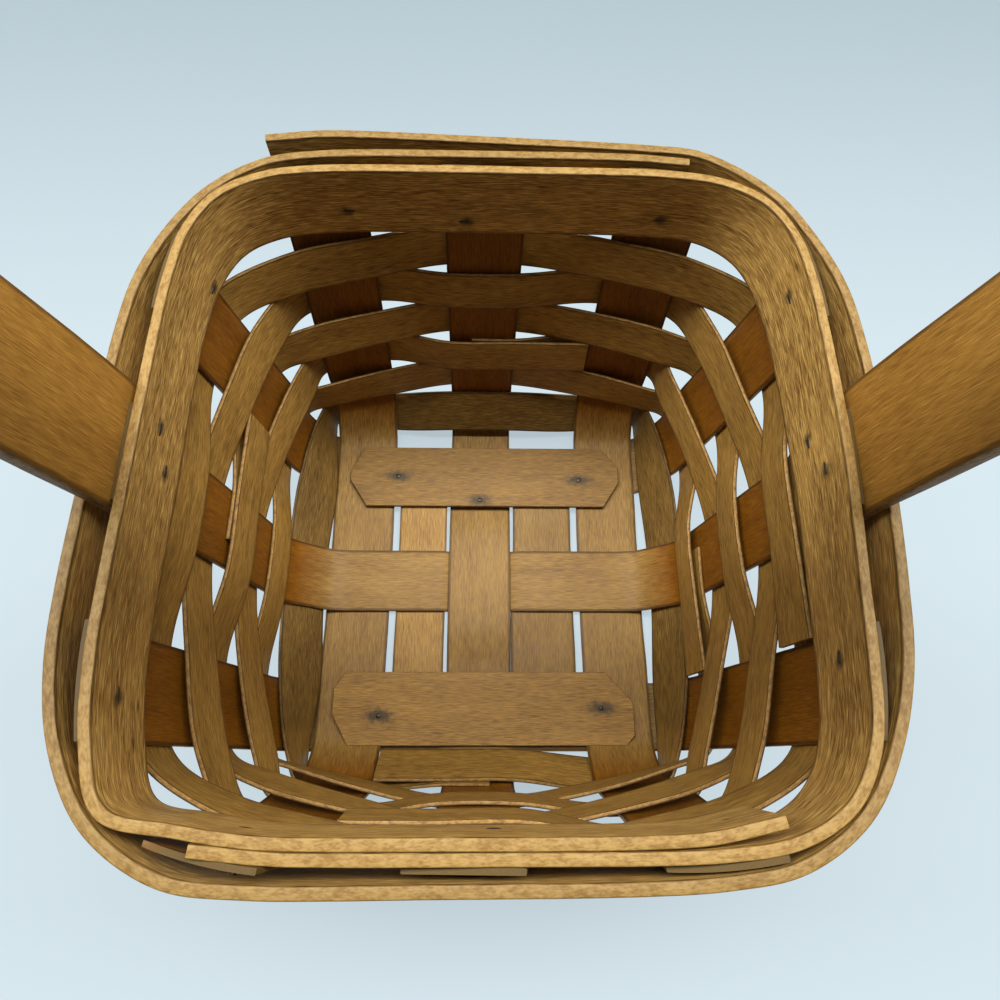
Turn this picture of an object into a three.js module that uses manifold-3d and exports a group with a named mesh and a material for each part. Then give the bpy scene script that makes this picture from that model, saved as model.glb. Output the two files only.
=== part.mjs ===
// A small square splint basket with a fixed bent handle.
// Millimetres, +Z up. The origin is on the table, under the middle of the base.
// +X points along the handle's span, +Y to the back wall.

import * as THREE from 'three';
import { mergeVertices } from 'three/addons/utils/BufferGeometryUtils.js';
import Module from 'manifold-3d';

const wasm = await Module();
wasm.setup();

// Uprights: flat splints that cross on the base and stand up as the ribs of the walls.
const UPRIGHT_WIDTH = 19;
const UPRIGHT_THICKNESS = 1.0;
const UPRIGHT_PITCH = 38.6;
const CROSS_UPRIGHT_PITCH = 40.1;
const CENTRE_SHIFT = -1.7;
const UPRIGHT_TOP_DROP = 1.0;
const FOOT_BEND_RADIUS = 2.4;
const CROSSING_RAMP = 9;
const CROSSING_ANGLE = THREE.MathUtils.degToRad(60);

// Walls: the surface in the middle of the uprights, a rounded square that widens upwards. It tucks in at
// the foot, where its corners are still square, and it stands nearly straight between the rim bands.
// The rim sits a little to the right and to the front of the base.
const SIDE_MARGIN = 7.9;
const END_MARGIN = 7.6;
const WALL_SLOPE = 0.128;
const RIM_SLOPE = 0.02;
const RIM_HEIGHT = 99;
const RIM_SHIFT_X = 1.4;
const RIM_SHIFT_Y = -1.2;
const FOOT_TUCK = 5.3;
const ROUNDING_HEIGHT = 29.2;
const CORNER_POWER = 5.6;

// Weavers: one ring of flat splint for each row.
const WEAVER_HEIGHT = 11.9;
const WEAVER_THICKNESS = 1.0;
const ROW_GAP = 0.6;
const FIRST_ROW_HEIGHT = 4.5;
const LAP_LENGTH = 3;
const TOP_LAP_LENGTH = 9;

// A weaver is stiff. Inside a corner upright it cuts the corner, so it stands off, leans in at its lower
// edge and dips. "Near" is the upright's edge beside the corner, "far" the other one. The front wall's ends
// are cut the most.
const OUTER_SLACK = 0.4;
const FAR_SLACK = 0.6;
const NEAR_SLACK = 2.2;
const FRONT_NEAR_SLACK = 5.0;
const FAR_LEAN = 1.0;
const NEAR_LEAN = 2.0;
const FAR_DIP = 0.5;
const NEAR_DIP = 1.6;
const DIP_STEP = 0.12;
const FIRST_ROW_END_LEAN = 2.0;
const FIRST_ROW_SIDE_LEAN = 3.4;

// Rim bands, inside and outside the tops of the uprights.
const BAND_HEIGHT = 19.3;
const BAND_THICKNESS = 2.0;
const INNER_LAP_LEFT = -44.6;
const INNER_LAP_RIGHT = 46.2;
const OUTER_LAP_LEFT = -49.4;
const OUTER_LAP_RIGHT = 42.4;
const OUTER_LAP_LIFT = 4.0;
const INNER_LAP_LIFT = 1.5;
const SIDE_SLACK = 1.4;
const FRONT_SLACK = 1.7;
const BACK_SLACK = 1.2;
const BACK_CORNER_SLACK = 0.6;

// Handle: one bent strip, shaved thinner where its legs sit between the bands.
const HANDLE_WIDTH = 25;
const HANDLE_THICKNESS = 3.2;
const HANDLE_LEG_THICKNESS = 2.2;
const HANDLE_SHIFT = 1.6;
const HANDLE_SPRING_HEIGHT = 134;
const HANDLE_LEAN = 0.2;
const HANDLE_TAIL = 8;
const HANDLE_TAIL_WIDTH = 17;
const HANDLE_EDGE = 0.7;
const HANDLE_SHAVE_LENGTH = 14;

// Fillers close the gaps between the uprights on the base.
const FILLER_THICKNESS = 1.0;
const FILLER_SIDE_GAP = 2.1;
const FILLER_CENTRE_GAP = 1.0;
const FILLER_END_INSET = 3;

// Cleats: clipped boards nailed across the base. A clip is [along, across] for one corner,
// in the order back left, back right, front right, front left.
const CLEAT_LENGTH = 86.4;
const CLEAT_WIDTH = 20.4;
const CLEAT_THICKNESS = 1.3;
const CLEAT_SHIFT = -0.2;
const BACK_CLEAT_INSET = 6.1;
const FRONT_CLEAT_INSET = 2.1;
const BACK_CLIPS = [[3.9, 8.9], [5.2, 6.8], [5.3, 8.3], [5.7, 8.9]];
const FRONT_CLIPS = [[3.1, 4.8], [7.9, 8.5], [2.5, 2.7], [4.9, 8.6]];

// Nails.
const NAIL_RADIUS = 0.6;
const NAIL_HEAD_RADIUS = 1.5;
const NAIL_HEAD_THICKNESS = 0.5;
const NAIL_TIP_RADIUS = 0.2;
const CLINCH_LENGTH = 4.2;
const CLINCH_RADIUS = 0.9;
const BASE_NAIL_HEAD_RADIUS = 1.1;
const BASE_NAIL_INSET = 1.0;
const DEEP_NAIL_INSET = 4.5;
const BASE_NAIL_EDGE = 2.1;
const NAIL_SIDES = 8;

// Room left between neighbouring pieces, and round a nail.
const CLEARANCE = 0.3;
const NAIL_CLEARANCE = 0.2;

const SPLINT = { color: 0x8a6330, roughness: 0.6, metalness: 0 };
const UPRIGHT = { color: 0x8f6026, roughness: 0.6, metalness: 0 };
const BOARD = { color: 0x9a7040, roughness: 0.65, metalness: 0 };
const BAND = { color: 0x84602c, roughness: 0.6, metalness: 0 };
const BENT_WOOD = { color: 0x9b682a, roughness: 0.55, metalness: 0 };
const IRON = { color: 0x4a4642, roughness: 0.5, metalness: 0.9 };

// Values that follow from the sizes above.
const HALF_WIDTH = UPRIGHT_PITCH + UPRIGHT_WIDTH / 2 + SIDE_MARGIN;
const HALF_DEPTH = CROSS_UPRIGHT_PITCH + UPRIGHT_WIDTH / 2 + END_MARGIN;
const FOOT_HEIGHT = FIRST_ROW_HEIGHT + WEAVER_HEIGHT;
const FOOT_SLOPE = WALL_SLOPE + FOOT_TUCK / FOOT_HEIGHT;
const LEVEL_STEP = UPRIGHT_THICKNESS + CLEARANCE;
const BASE_TOP = LEVEL_STEP + UPRIGHT_THICKNESS;
const BAND_BOTTOM = RIM_HEIGHT - BAND_HEIGHT;
const ROW_PITCH = WEAVER_HEIGHT + ROW_GAP;
const ROW_ROOM = BAND_BOTTOM - CLEARANCE - FIRST_ROW_HEIGHT;
const ROW_COUNT = Math.floor((ROW_ROOM + ROW_GAP) / ROW_PITCH);
const WEAVER_OFFSET = (UPRIGHT_THICKNESS + WEAVER_THICKNESS) / 2 + CLEARANCE;
const WEAVER_LAYER = WEAVER_THICKNESS + CLEARANCE;
const BAND_OFFSET = (UPRIGHT_THICKNESS + BAND_THICKNESS) / 2 + CLEARANCE;
const BAND_LAYER = BAND_THICKNESS + CLEARANCE;
const LEG_ROOM = HANDLE_LEG_THICKNESS + CLEARANCE;
const LEG_OFFSET = (UPRIGHT_THICKNESS + HANDLE_LEG_THICKNESS) / 2 + CLEARANCE;
const HOLE_RADIUS = NAIL_RADIUS + NAIL_CLEARANCE;

// How far the wall stands out at a height, and how round its corners are. A distance from the wall is
// measured square to it, so it is longer along the foot's slope.
const flare = (z) => WALL_SLOPE * Math.min(z, BAND_BOTTOM)
  + RIM_SLOPE * Math.max(z - BAND_BOTTOM, 0)
  - FOOT_TUCK * Math.max(1 - z / FOOT_HEIGHT, 0);
const rounding = (z) => THREE.MathUtils.clamp(z / ROUNDING_HEIGHT, 0, 1);
const stretch = (z) => (z > FOOT_HEIGHT ? 1 : Math.hypot(1, FOOT_SLOPE));

// Carries a point along with the rim's shift, which grows up to the rim.
function settle(x, y, z) {
  const share = Math.min(z / RIM_HEIGHT, 1);
  return new THREE.Vector3(x + RIM_SHIFT_X * share, y + RIM_SHIFT_Y * share, z);
}

// The four walls, counterclockwise from above. "along" is the way round, "out" points outwards.
// On the table a wall stands "half" from the middle and reaches "reach" to each side, and its three
// uprights stand at "places" along it. The first row's lower edge tucks in by "tuck", and every
// row stands in by "nearSlack" beside a corner.
const FRONT = {
  along: [1, 0],
  out: [0, -1],
  half: HALF_DEPTH,
  reach: HALF_WIDTH,
  places: { frontLeft: -UPRIGHT_PITCH, frontCentre: CENTRE_SHIFT, frontRight: UPRIGHT_PITCH },
  tuck: FIRST_ROW_END_LEAN,
  nearSlack: FRONT_NEAR_SLACK,
};
const RIGHT = {
  along: [0, 1],
  out: [1, 0],
  half: HALF_WIDTH,
  reach: HALF_DEPTH,
  places: { rightFront: -CROSS_UPRIGHT_PITCH, rightMiddle: 0, rightBack: CROSS_UPRIGHT_PITCH },
  tuck: FIRST_ROW_SIDE_LEAN,
  nearSlack: NEAR_SLACK,
};
const BACK = {
  along: [-1, 0],
  out: [0, 1],
  half: HALF_DEPTH,
  reach: HALF_WIDTH,
  places: { backRight: -UPRIGHT_PITCH, backCentre: -CENTRE_SHIFT, backLeft: UPRIGHT_PITCH },
  tuck: FIRST_ROW_END_LEAN,
  nearSlack: NEAR_SLACK,
};
const LEFT = {
  along: [0, -1],
  out: [-1, 0],
  half: HALF_WIDTH,
  reach: HALF_DEPTH,
  places: { leftBack: -CROSS_UPRIGHT_PITCH, leftMiddle: 0, leftFront: CROSS_UPRIGHT_PITCH },
  tuck: FIRST_ROW_SIDE_LEAN,
  nearSlack: NEAR_SLACK,
};
const WALLS = [FRONT, RIGHT, BACK, LEFT];

// Distance of a wall from the middle. It is less towards the corners, along a rounded square.
function wallOut(wall, s, z) {
  const share = Math.min(Math.abs(s) / (wall.reach + flare(z)), 1) ** CORNER_POWER;
  const drop = 1 - (1 - share) ** (1 / CORNER_POWER);
  return (wall.half + flare(z)) * (1 - drop * rounding(z));
}

const spot = (wall, s, out, z) => settle(
  wall.along[0] * s + wall.out[0] * out,
  wall.along[1] * s + wall.out[1] * out,
  z,
);

// A point on a wall: s runs along it, off is the distance outwards from the wall's middle surface.
const wallPoint = (wall, s, z, off) => spot(wall, s, wallOut(wall, s, z) + off * stretch(z), z);

// The point in the middle of the round corner after a wall.
function cornerPoint(wall, z, off) {
  const share = 0.5 ** (1 / CORNER_POWER);
  const diagonal = off * Math.SQRT1_2;
  return spot(wall, (wall.reach + flare(z)) * share + diagonal, (wall.half + flare(z)) * share + diagonal, z);
}

const solidOf = (geometry) => {
  const bare = geometry.clone();
  bare.deleteAttribute('normal');
  bare.deleteAttribute('uv');
  const merged = mergeVertices(bare, 1e-4);
  return new wasm.Manifold(new wasm.Mesh({
    numProp: 3,
    vertProperties: new Float32Array(merged.attributes.position.array),
    triVerts: new Uint32Array(merged.index.array),
  }));
};

const geometryOf = (solid) => {
  const mesh = solid.getMesh();
  const geometry = new THREE.BufferGeometry();
  geometry.setAttribute('position', new THREE.BufferAttribute(mesh.vertProperties, 3));
  geometry.setIndex(new THREE.BufferAttribute(mesh.triVerts, 1));
  geometry.computeVertexNormals();
  return geometry;
};

function cut(geometry, cutters) {
  let solid = solidOf(geometry);
  for (const cutter of cutters) solid = solid.subtract(solidOf(cutter));
  return geometryOf(solid);
}

// Closes a tube of equal rings of points with a cap at each end. A ring turns counterclockwise round the
// way the tube runs, and its second half lies opposite its first half.
function loft(rings) {
  const count = rings[0].length;
  const index = [];
  for (let r = 0; r + 1 < rings.length; r += 1) {
    for (let i = 0; i < count; i += 1) {
      const a = r * count + i;
      const b = r * count + ((i + 1) % count);
      index.push(a, b, b + count, a, b + count, a + count);
    }
  }
  const last = (rings.length - 1) * count;
  for (let i = 0; i + 1 < count / 2; i += 1) {
    const [a, b, c, d] = [i, i + 1, count - 2 - i, count - 1 - i];
    index.push(a, c, b, a, d, c);
    index.push(last + a, last + b, last + c, last + a, last + c, last + d);
  }
  const geometry = new THREE.BufferGeometry();
  geometry.setFromPoints(rings.flat());
  geometry.setIndex(index);
  geometry.computeVertexNormals();
  return geometry;
}

// A strip that stands on edge and runs round the basket. It bows smoothly through the places that hold it,
// each with a point of its lower and of its upper edge.
function bowedStrip(holds, steps, thickness) {
  const count = (holds.length - 1) * steps;
  const edge = (side) => new THREE.CatmullRomCurve3(holds.map((hold) => hold[side])).getPoints(count);
  const lows = edge('low');
  const highs = edge('high');
  const middle = (k) => lows[k].clone().lerp(highs[k], 0.5);
  return loft(lows.map((low, k) => {
    const high = highs[k];
    const run = middle(Math.min(k + 1, count)).sub(middle(Math.max(k - 1, 0)));
    const out = run.cross(high.clone().sub(low)).setLength(thickness / 2);
    return [low.clone().add(out), low.clone().sub(out), high.clone().sub(out), high.clone().add(out)];
  }));
}

// The twelve places where a weaver passes an upright, in order round the basket. The corner beside an
// upright lies at its end -1 or 1 along the wall, and a middle upright has none.
const PASSES = WALLS.flatMap((wall) => Object.entries(wall.places).map(([name, s], i) => ({
  name,
  wall,
  s,
  corner: i - 1,
})));
const PASSES_PER_WALL = PASSES.length / WALLS.length;
const GRIP = UPRIGHT_WIDTH / 2 + CLEARANCE;
const CORNER_GRIP = UPRIGHT_WIDTH / 2 + WEAVER_THICKNESS;
const WEAVER_STEPS = 3;

// Where a weaver is held beside an upright. Slack takes all of it inwards, lean its lower edge only, and both
// grow with the roundness of the corners. A tuck takes the lower edge in at once.
function weaverHold(wall, s, row, offset, { slack = 0, lean = 0, tuck = 0, dip = 0 } = {}) {
  const low = FIRST_ROW_HEIGHT + row * ROW_PITCH - dip;
  const high = low + WEAVER_HEIGHT;
  return {
    low: wallPoint(wall, s, low, offset - (slack + lean) * rounding(low) - tuck),
    high: wallPoint(wall, s, high, offset - slack * rounding(high)),
  };
}

// A weaver on both edges of an upright, outside or inside it.
function passHolds({ wall, s, corner }, row, outside, layer) {
  return [-1, 1].map((end) => {
    const near = end === corner;
    const far = corner !== 0 && !near;
    const at = s + end * (near ? CORNER_GRIP : GRIP);
    const dip = near ? NEAR_DIP + DIP_STEP * row : far * FAR_DIP;
    if (outside) return weaverHold(wall, at, row, WEAVER_OFFSET + OUTER_SLACK, { dip });
    return weaverHold(wall, at, row, -WEAVER_OFFSET - layer, {
      slack: near ? wall.nearSlack : far * FAR_SLACK,
      lean: near ? NEAR_LEAN : far * FAR_LEAN,
      tuck: row === 0 && !near ? wall.tuck : 0,
      dip,
    });
  });
}

// Rows are counted from the top one, which runs inside the uprights that carry the handle.
// It starts on the right wall, and each row below starts one wall before. A row starts with a straight lead
// inside the middle upright of its wall, goes once round and ends between that upright and its own start.
function weaver(row) {
  const fromTop = ROW_COUNT - 1 - row;
  const startWall = THREE.MathUtils.euclideanModulo(WALLS.indexOf(RIGHT) - fromTop, WALLS.length);
  const start = startWall * PASSES_PER_WALL + 1;
  const { wall, s } = PASSES[start];
  const tuck = row === 0 ? wall.tuck : 0;
  const lead = PASSES[start - 1].s + GRIP;
  const holds = [weaverHold(wall, lead, row, -WEAVER_OFFSET - WEAVER_LAYER, { tuck })];
  for (let i = 0; i < PASSES.length; i += 1) {
    const place = (start + i) % PASSES.length;
    const outside = (place + fromTop) % 2 === 1;
    holds.push(...passHolds(PASSES[place], row, outside, i === 0 ? WEAVER_LAYER : 0));
  }
  const lap = fromTop === 0 ? TOP_LAP_LENGTH : LAP_LENGTH;
  for (const at of [s - GRIP, s + lap]) holds.push(weaverHold(wall, at, row, -WEAVER_OFFSET, { tuck }));
  return bowedStrip(holds, WEAVER_STEPS, WEAVER_THICKNESS);
}

// The walls that a band passes. It stands off by "stands" at the start, the middle and the end of a wall,
// and changes towards the ends by a power. At the corner after the wall it stands off by "corner".
const OVER_LAP = BAND_LAYER + BACK_SLACK;
const OUTER_STRETCHES = [
  { wall: BACK, stands: [BACK_CORNER_SLACK, BACK_SLACK, BACK_CORNER_SLACK], power: 4, corner: 0 },
  { wall: LEFT, stands: [0, LEG_ROOM + SIDE_SLACK, FRONT_SLACK], power: 4, corner: FRONT_SLACK },
  { wall: FRONT, stands: [FRONT_SLACK, FRONT_SLACK, FRONT_SLACK], power: 4, corner: FRONT_SLACK },
  { wall: RIGHT, stands: [FRONT_SLACK, LEG_ROOM + SIDE_SLACK, 0], power: 4, corner: BACK_CORNER_SLACK },
  { wall: BACK, stands: [0, OUTER_LAP_LIFT / 2, OUTER_LAP_LIFT].map((lift) => OVER_LAP + lift), power: 1 },
];
const INNER_STRETCHES = [
  { wall: FRONT, stands: [0, 0, 0], power: 4, corner: 0 },
  { wall: RIGHT, stands: [0, 0, 0], power: 4, corner: 0 },
  { wall: BACK, stands: [0, 0, 0], power: 4, corner: 0 },
  { wall: LEFT, stands: [0, 0, 0], power: 4, corner: -BAND_LAYER / 2 },
  { wall: FRONT, stands: [-BAND_LAYER, -BAND_LAYER, -BAND_LAYER - INNER_LAP_LIFT], power: 4 },
];
const bandReach = (wall) => Math.max(...Object.values(wall.places)) + GRIP;
function standOff({ wall, stands: [start, middle, end], power }, s) {
  const share = s / bandReach(wall);
  return THREE.MathUtils.lerp(middle, share < 0 ? start : end, Math.abs(share) ** power);
}

// A band starts and ends on one wall and goes once round. It laps itself from its own start on.
const BAND_HOLDS = 8;
const BAND_STEPS = 2;
function rimBand(stretches, from, to, offset, cornerOffset) {
  const holds = [];
  const last = stretches.length - 1;
  const hold = (at) => holds.push({ low: at(BAND_BOTTOM), high: at(RIM_HEIGHT) });
  stretches.forEach((part, i) => {
    const { wall, corner } = part;
    const low = i === 0 || i === last ? from : -bandReach(wall);
    const high = i === last ? to : bandReach(wall);
    for (let k = 0; k <= BAND_HOLDS; k += 1) {
      const s = THREE.MathUtils.lerp(low, high, k / BAND_HOLDS);
      hold((z) => wallPoint(wall, s, z, offset + standOff(part, s)));
    }
    if (i < last) hold((z) => cornerPoint(wall, z, cornerOffset + corner));
  });
  return bowedStrip(holds, BAND_STEPS, BAND_THICKNESS);
}

// The points at even distance on one side of a path, above it (1) or below it (-1).
function ribbonSide(path, thickness, side) {
  return path.map((point, i) => {
    const before = path[Math.max(i - 1, 0)];
    const after = path[Math.min(i + 1, path.length - 1)];
    const leave = after.clone().sub(point);
    const arrive = point.clone().sub(before);
    const a = (i > 0 ? arrive : leave).clone().normalize();
    const b = (i + 1 < path.length ? leave : arrive).clone().normalize();
    const normal = new THREE.Vector2(-a.y - b.y, a.x + b.x).normalize();
    const reach = thickness / 2 / (normal.x * -a.y + normal.y * a.x);
    return point.clone().addScaledVector(normal, side * reach);
  });
}

// Replaces a corner of a path with an arc.
function fillet(before, corner, after, radius, steps) {
  const u = before.clone().sub(corner).normalize();
  const v = after.clone().sub(corner).normalize();
  const half = Math.acos(u.dot(v)) / 2;
  const bisector = u.clone().add(v).normalize();
  const centre = corner.clone().addScaledVector(bisector, radius / Math.sin(half));
  const start = corner.clone().addScaledVector(u, radius / Math.tan(half)).sub(centre);
  const sweep = Math.sign(bisector.cross(start)) * (Math.PI - 2 * half);
  const points = [];
  for (let i = 0; i <= steps; i += 1) {
    points.push(start.clone().rotateAround(new THREE.Vector2(), sweep * (i / steps)).add(centre));
  }
  return points;
}

// One upright at a place s across it, as a path of (distance, height) from rim to rim. "groups" are the
// three stretches that it crosses on the base, and "levels" say whether it lies under (0) or over (1)
// each of them.
const midLevel = (share) => THREE.MathUtils.lerp(ROUNDING_HEIGHT, BAND_BOTTOM, share);
const UPRIGHT_TOP = RIM_HEIGHT - UPRIGHT_TOP_DROP;
const MIDDLE_LEVELS = [midLevel(2 / 3), midLevel(1 / 3)];
const WALL_LEVELS = [UPRIGHT_TOP, BAND_BOTTOM, ...MIDDLE_LEVELS, ROUNDING_HEIGHT, FOOT_HEIGHT];
const FOOT_STEPS = 4;
function uprightPath(wall, s, groups, levels) {
  const height = (level) => UPRIGHT_THICKNESS / 2 + level * LEVEL_STEP;
  const onMiddle = (sign, z) => new THREE.Vector2(sign * wallOut(wall, s, z), z);
  const run = [];
  for (let i = 0; i < 2; i += 1) {
    const gap = groups[i + 1][0] - groups[i][1];
    const steepest = LEVEL_STEP / Math.tan(CROSSING_ANGLE);
    const ramp = Math.max(steepest, Math.min(CROSSING_RAMP, gap - 2 * UPRIGHT_THICKNESS));
    const middle = (groups[i + 1][0] + groups[i][1]) / 2;
    run.push(new THREE.Vector2(middle - ramp / 2, height(levels[i])));
    run.push(new THREE.Vector2(middle + ramp / 2, height(levels[i + 1])));
  }
  const down = WALL_LEVELS.map((z) => onMiddle(-1, z));
  const up = WALL_LEVELS.map((z) => onMiddle(1, z)).reverse();
  const start = onMiddle(-1, height(levels[0]));
  const end = onMiddle(1, height(levels[2]));
  return [
    ...down,
    ...fillet(down[down.length - 1], start, run[0], FOOT_BEND_RADIUS, FOOT_STEPS),
    ...run,
    ...fillet(run[run.length - 1], end, up[0], FOOT_BEND_RADIUS, FOOT_STEPS),
    ...up,
  ];
}

const span = (middle, width) => [middle - width / 2, middle + width / 2];
const extrude = (shape, depth) => new THREE.ExtrudeGeometry(shape, { depth, bevelEnabled: false });

// A strip that runs along X (crossing) or along Y, between two places across it. "pathAt" gives its path at
// a place across it.
function layStrip(pathAt, [from, to], steps, thickness, crossing) {
  const sides = [];
  for (let i = 0; i <= steps; i += 1) {
    const share = crossing ? 1 - i / steps : i / steps;
    const s = THREE.MathUtils.lerp(from, to, share);
    const place = ({ x: distance, y: z }) => (crossing ? settle(distance, s, z) : settle(s, distance, z));
    const side = (sign) => ribbonSide(pathAt(s), thickness, sign).map(place);
    sides.push({ above: side(1), below: side(-1) });
  }
  return loft(sides[0].above.map((_, k) => [
    ...sides.map(({ above }) => above[k]),
    ...sides.map(({ below }) => below[k]).reverse(),
  ]));
}

const LEFT_SPAN = span(-UPRIGHT_PITCH, UPRIGHT_WIDTH);
const CENTRE_SPAN = span(CENTRE_SHIFT, UPRIGHT_WIDTH);
const RIGHT_SPAN = span(UPRIGHT_PITCH, UPRIGHT_WIDTH);
const FRONT_SPAN = span(-CROSS_UPRIGHT_PITCH, UPRIGHT_WIDTH);
const MIDDLE_SPAN = span(0, UPRIGHT_WIDTH);
const BACK_SPAN = span(CROSS_UPRIGHT_PITCH, UPRIGHT_WIDTH);
const LEFT_FILLER = [LEFT_SPAN[1] + FILLER_SIDE_GAP, CENTRE_SPAN[0] - FILLER_CENTRE_GAP];
const RIGHT_FILLER = [CENTRE_SPAN[1] + FILLER_CENTRE_GAP, RIGHT_SPAN[0] - FILLER_SIDE_GAP];

const LENGTHWISE_GROUPS = [FRONT_SPAN, MIDDLE_SPAN, BACK_SPAN];
const CROSSWISE_GROUPS = [
  [LEFT_SPAN[0], LEFT_FILLER[1]],
  CENTRE_SPAN,
  [RIGHT_FILLER[0], RIGHT_SPAN[1]],
];
const OVER_ENDS = [1, 0, 1];
const UNDER_ENDS = [0, 1, 0];

// The corner uprights follow the roundness of the walls across their width, in three steps.
const acrossSteps = ([from, to]) => (from < 0 && to > 0 ? 1 : 3);
function upright(at, levels) {
  const pathAt = (s) => uprightPath(FRONT, s, LENGTHWISE_GROUPS, levels);
  return layStrip(pathAt, at, acrossSteps(at), UPRIGHT_THICKNESS, false);
}

function crossUpright(at, levels) {
  const pathAt = (s) => uprightPath(RIGHT, s, CROSSWISE_GROUPS, levels);
  return layStrip(pathAt, at, acrossSteps(at), UPRIGHT_THICKNESS, true);
}

// A filler lies over the outer cross uprights and dips under the middle one.
const BACK_CLEAT_Y = CROSS_UPRIGHT_PITCH - BACK_CLEAT_INSET;
const FRONT_CLEAT_Y = -CROSS_UPRIGHT_PITCH + FRONT_CLEAT_INSET;
function filler(at) {
  const low = FILLER_THICKNESS / 2;
  const high = low + LEVEL_STEP;
  const rise = (edge, dir) => {
    const from = edge + dir * UPRIGHT_THICKNESS * 2;
    return [new THREE.Vector2(from, low), new THREE.Vector2(from + dir * CROSSING_RAMP, high)];
  };
  const path = [
    new THREE.Vector2(FRONT_CLEAT_Y - CLEAT_WIDTH / 2 + FILLER_END_INSET, high),
    ...rise(MIDDLE_SPAN[0], -1).reverse(),
    ...rise(MIDDLE_SPAN[1], 1),
    new THREE.Vector2(BACK_CLEAT_Y + CLEAT_WIDTH / 2 - FILLER_END_INSET, high),
  ];
  return layStrip(() => path, at, 1, FILLER_THICKNESS, false);
}

const CLEAT_BOTTOM = BASE_TOP + CLEARANCE;
const CLEAT_TOP = CLEAT_BOTTOM + CLEAT_THICKNESS;
function cleat(y, clips) {
  const [backLeft, backRight, frontRight, frontLeft] = clips;
  const [left, right] = span(CLEAT_SHIFT, CLEAT_LENGTH);
  const [front, back] = span(y, CLEAT_WIDTH);
  const shape = new THREE.Shape();
  shape.moveTo(left + frontLeft[0], front);
  shape.lineTo(right - frontRight[0], front);
  shape.lineTo(right, front + frontRight[1]);
  shape.lineTo(right, back - backRight[1]);
  shape.lineTo(right - backRight[0], back);
  shape.lineTo(left + backLeft[0], back);
  shape.lineTo(left, back - backLeft[1]);
  shape.lineTo(left, front + frontLeft[1]);
  return extrude(shape, CLEAT_THICKNESS).translate(0, 0, CLEAT_BOTTOM);
}

// The handle's legs stand along the walls up to the rim, lean outwards above it and close in a round arch.
const HANDLE_TILT = Math.atan(HANDLE_LEAN);
const ARCH_STEPS = 30;
function handle() {
  const seat = (z) => HALF_WIDTH + LEG_OFFSET
    + flare(Math.min(z, RIM_HEIGHT)) + HANDLE_LEAN * Math.max(z - RIM_HEIGHT, 0);
  const springX = seat(HANDLE_SPRING_HEIGHT);
  const archRadius = springX / Math.cos(HANDLE_TILT);
  const archCentre = HANDLE_SPRING_HEIGHT + archRadius * Math.sin(HANDLE_TILT);
  const tail = BAND_BOTTOM - HANDLE_TAIL;
  const wallTilt = Math.atan(WALL_SLOPE);
  const rimTilt = Math.atan(RIM_SLOPE);
  const leg = [
    { z: tail, tilt: wallTilt, width: HANDLE_TAIL_WIDTH },
    { z: tail + HANDLE_TAIL / 4, tilt: wallTilt, width: (HANDLE_TAIL_WIDTH + HANDLE_WIDTH) / 2 },
    { z: tail + HANDLE_TAIL * 0.75, tilt: wallTilt, width: HANDLE_WIDTH },
    { z: BAND_BOTTOM, tilt: (wallTilt + rimTilt) / 2, width: HANDLE_WIDTH },
    { z: RIM_HEIGHT, tilt: (rimTilt + HANDLE_TILT) / 2, width: HANDLE_WIDTH },
    { z: RIM_HEIGHT + HANDLE_SHAVE_LENGTH, tilt: HANDLE_TILT, width: HANDLE_WIDTH, full: true },
  ];
  const section = (x, z, turn, width, thickness) => {
    const w = width / 2;
    const h = thickness / 2;
    const outline = [
      [h, w - HANDLE_EDGE], [h - HANDLE_EDGE, w], [HANDLE_EDGE - h, w], [-h, w - HANDLE_EDGE],
      [-h, HANDLE_EDGE - w], [HANDLE_EDGE - h, -w], [h - HANDLE_EDGE, -w], [h, HANDLE_EDGE - w],
    ];
    const middle = settle(x, HANDLE_SHIFT, z);
    return outline.map(([out, side]) => new THREE.Vector3(
      middle.x + out * Math.cos(turn),
      middle.y + side,
      z + out * Math.sin(turn),
    ));
  };
  const legRing = ({ z, tilt, width, full }, side) => {
    const turn = side > 0 ? -tilt : Math.PI + tilt;
    return section(side * seat(z), z, turn, width, full ? HANDLE_THICKNESS : HANDLE_LEG_THICKNESS);
  };
  const rings = leg.map((level) => legRing(level, 1));
  for (let i = 0; i <= ARCH_STEPS; i += 1) {
    const turn = THREE.MathUtils.lerp(-HANDLE_TILT, Math.PI + HANDLE_TILT, i / ARCH_STEPS);
    const x = archRadius * Math.cos(turn);
    const z = archCentre + archRadius * Math.sin(turn);
    rings.push(section(x, z, turn, HANDLE_WIDTH, HANDLE_THICKNESS));
  }
  rings.push(...leg.map((level) => legRing(level, -1)).reverse());
  return loft(rings);
}

const ring = (radius, place) => Array.from({ length: NAIL_SIDES }, (_, i) => {
  const turn = (-i / NAIL_SIDES) * Math.PI * 2;
  return place(radius * Math.cos(turn), radius * Math.sin(turn));
});

// Rings of a nail's head and straight shank, from the head down, with its axis on local Z.
function headRings(seat, headRadius) {
  const level = (radius, z) => ring(radius, (x, y) => new THREE.Vector3(x, y, z));
  return [
    level(headRadius * 0.7, seat + NAIL_HEAD_THICKNESS),
    level(headRadius, seat + NAIL_HEAD_THICKNESS / 2),
    level(headRadius, seat),
    level(NAIL_RADIUS, seat),
  ];
}

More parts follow.
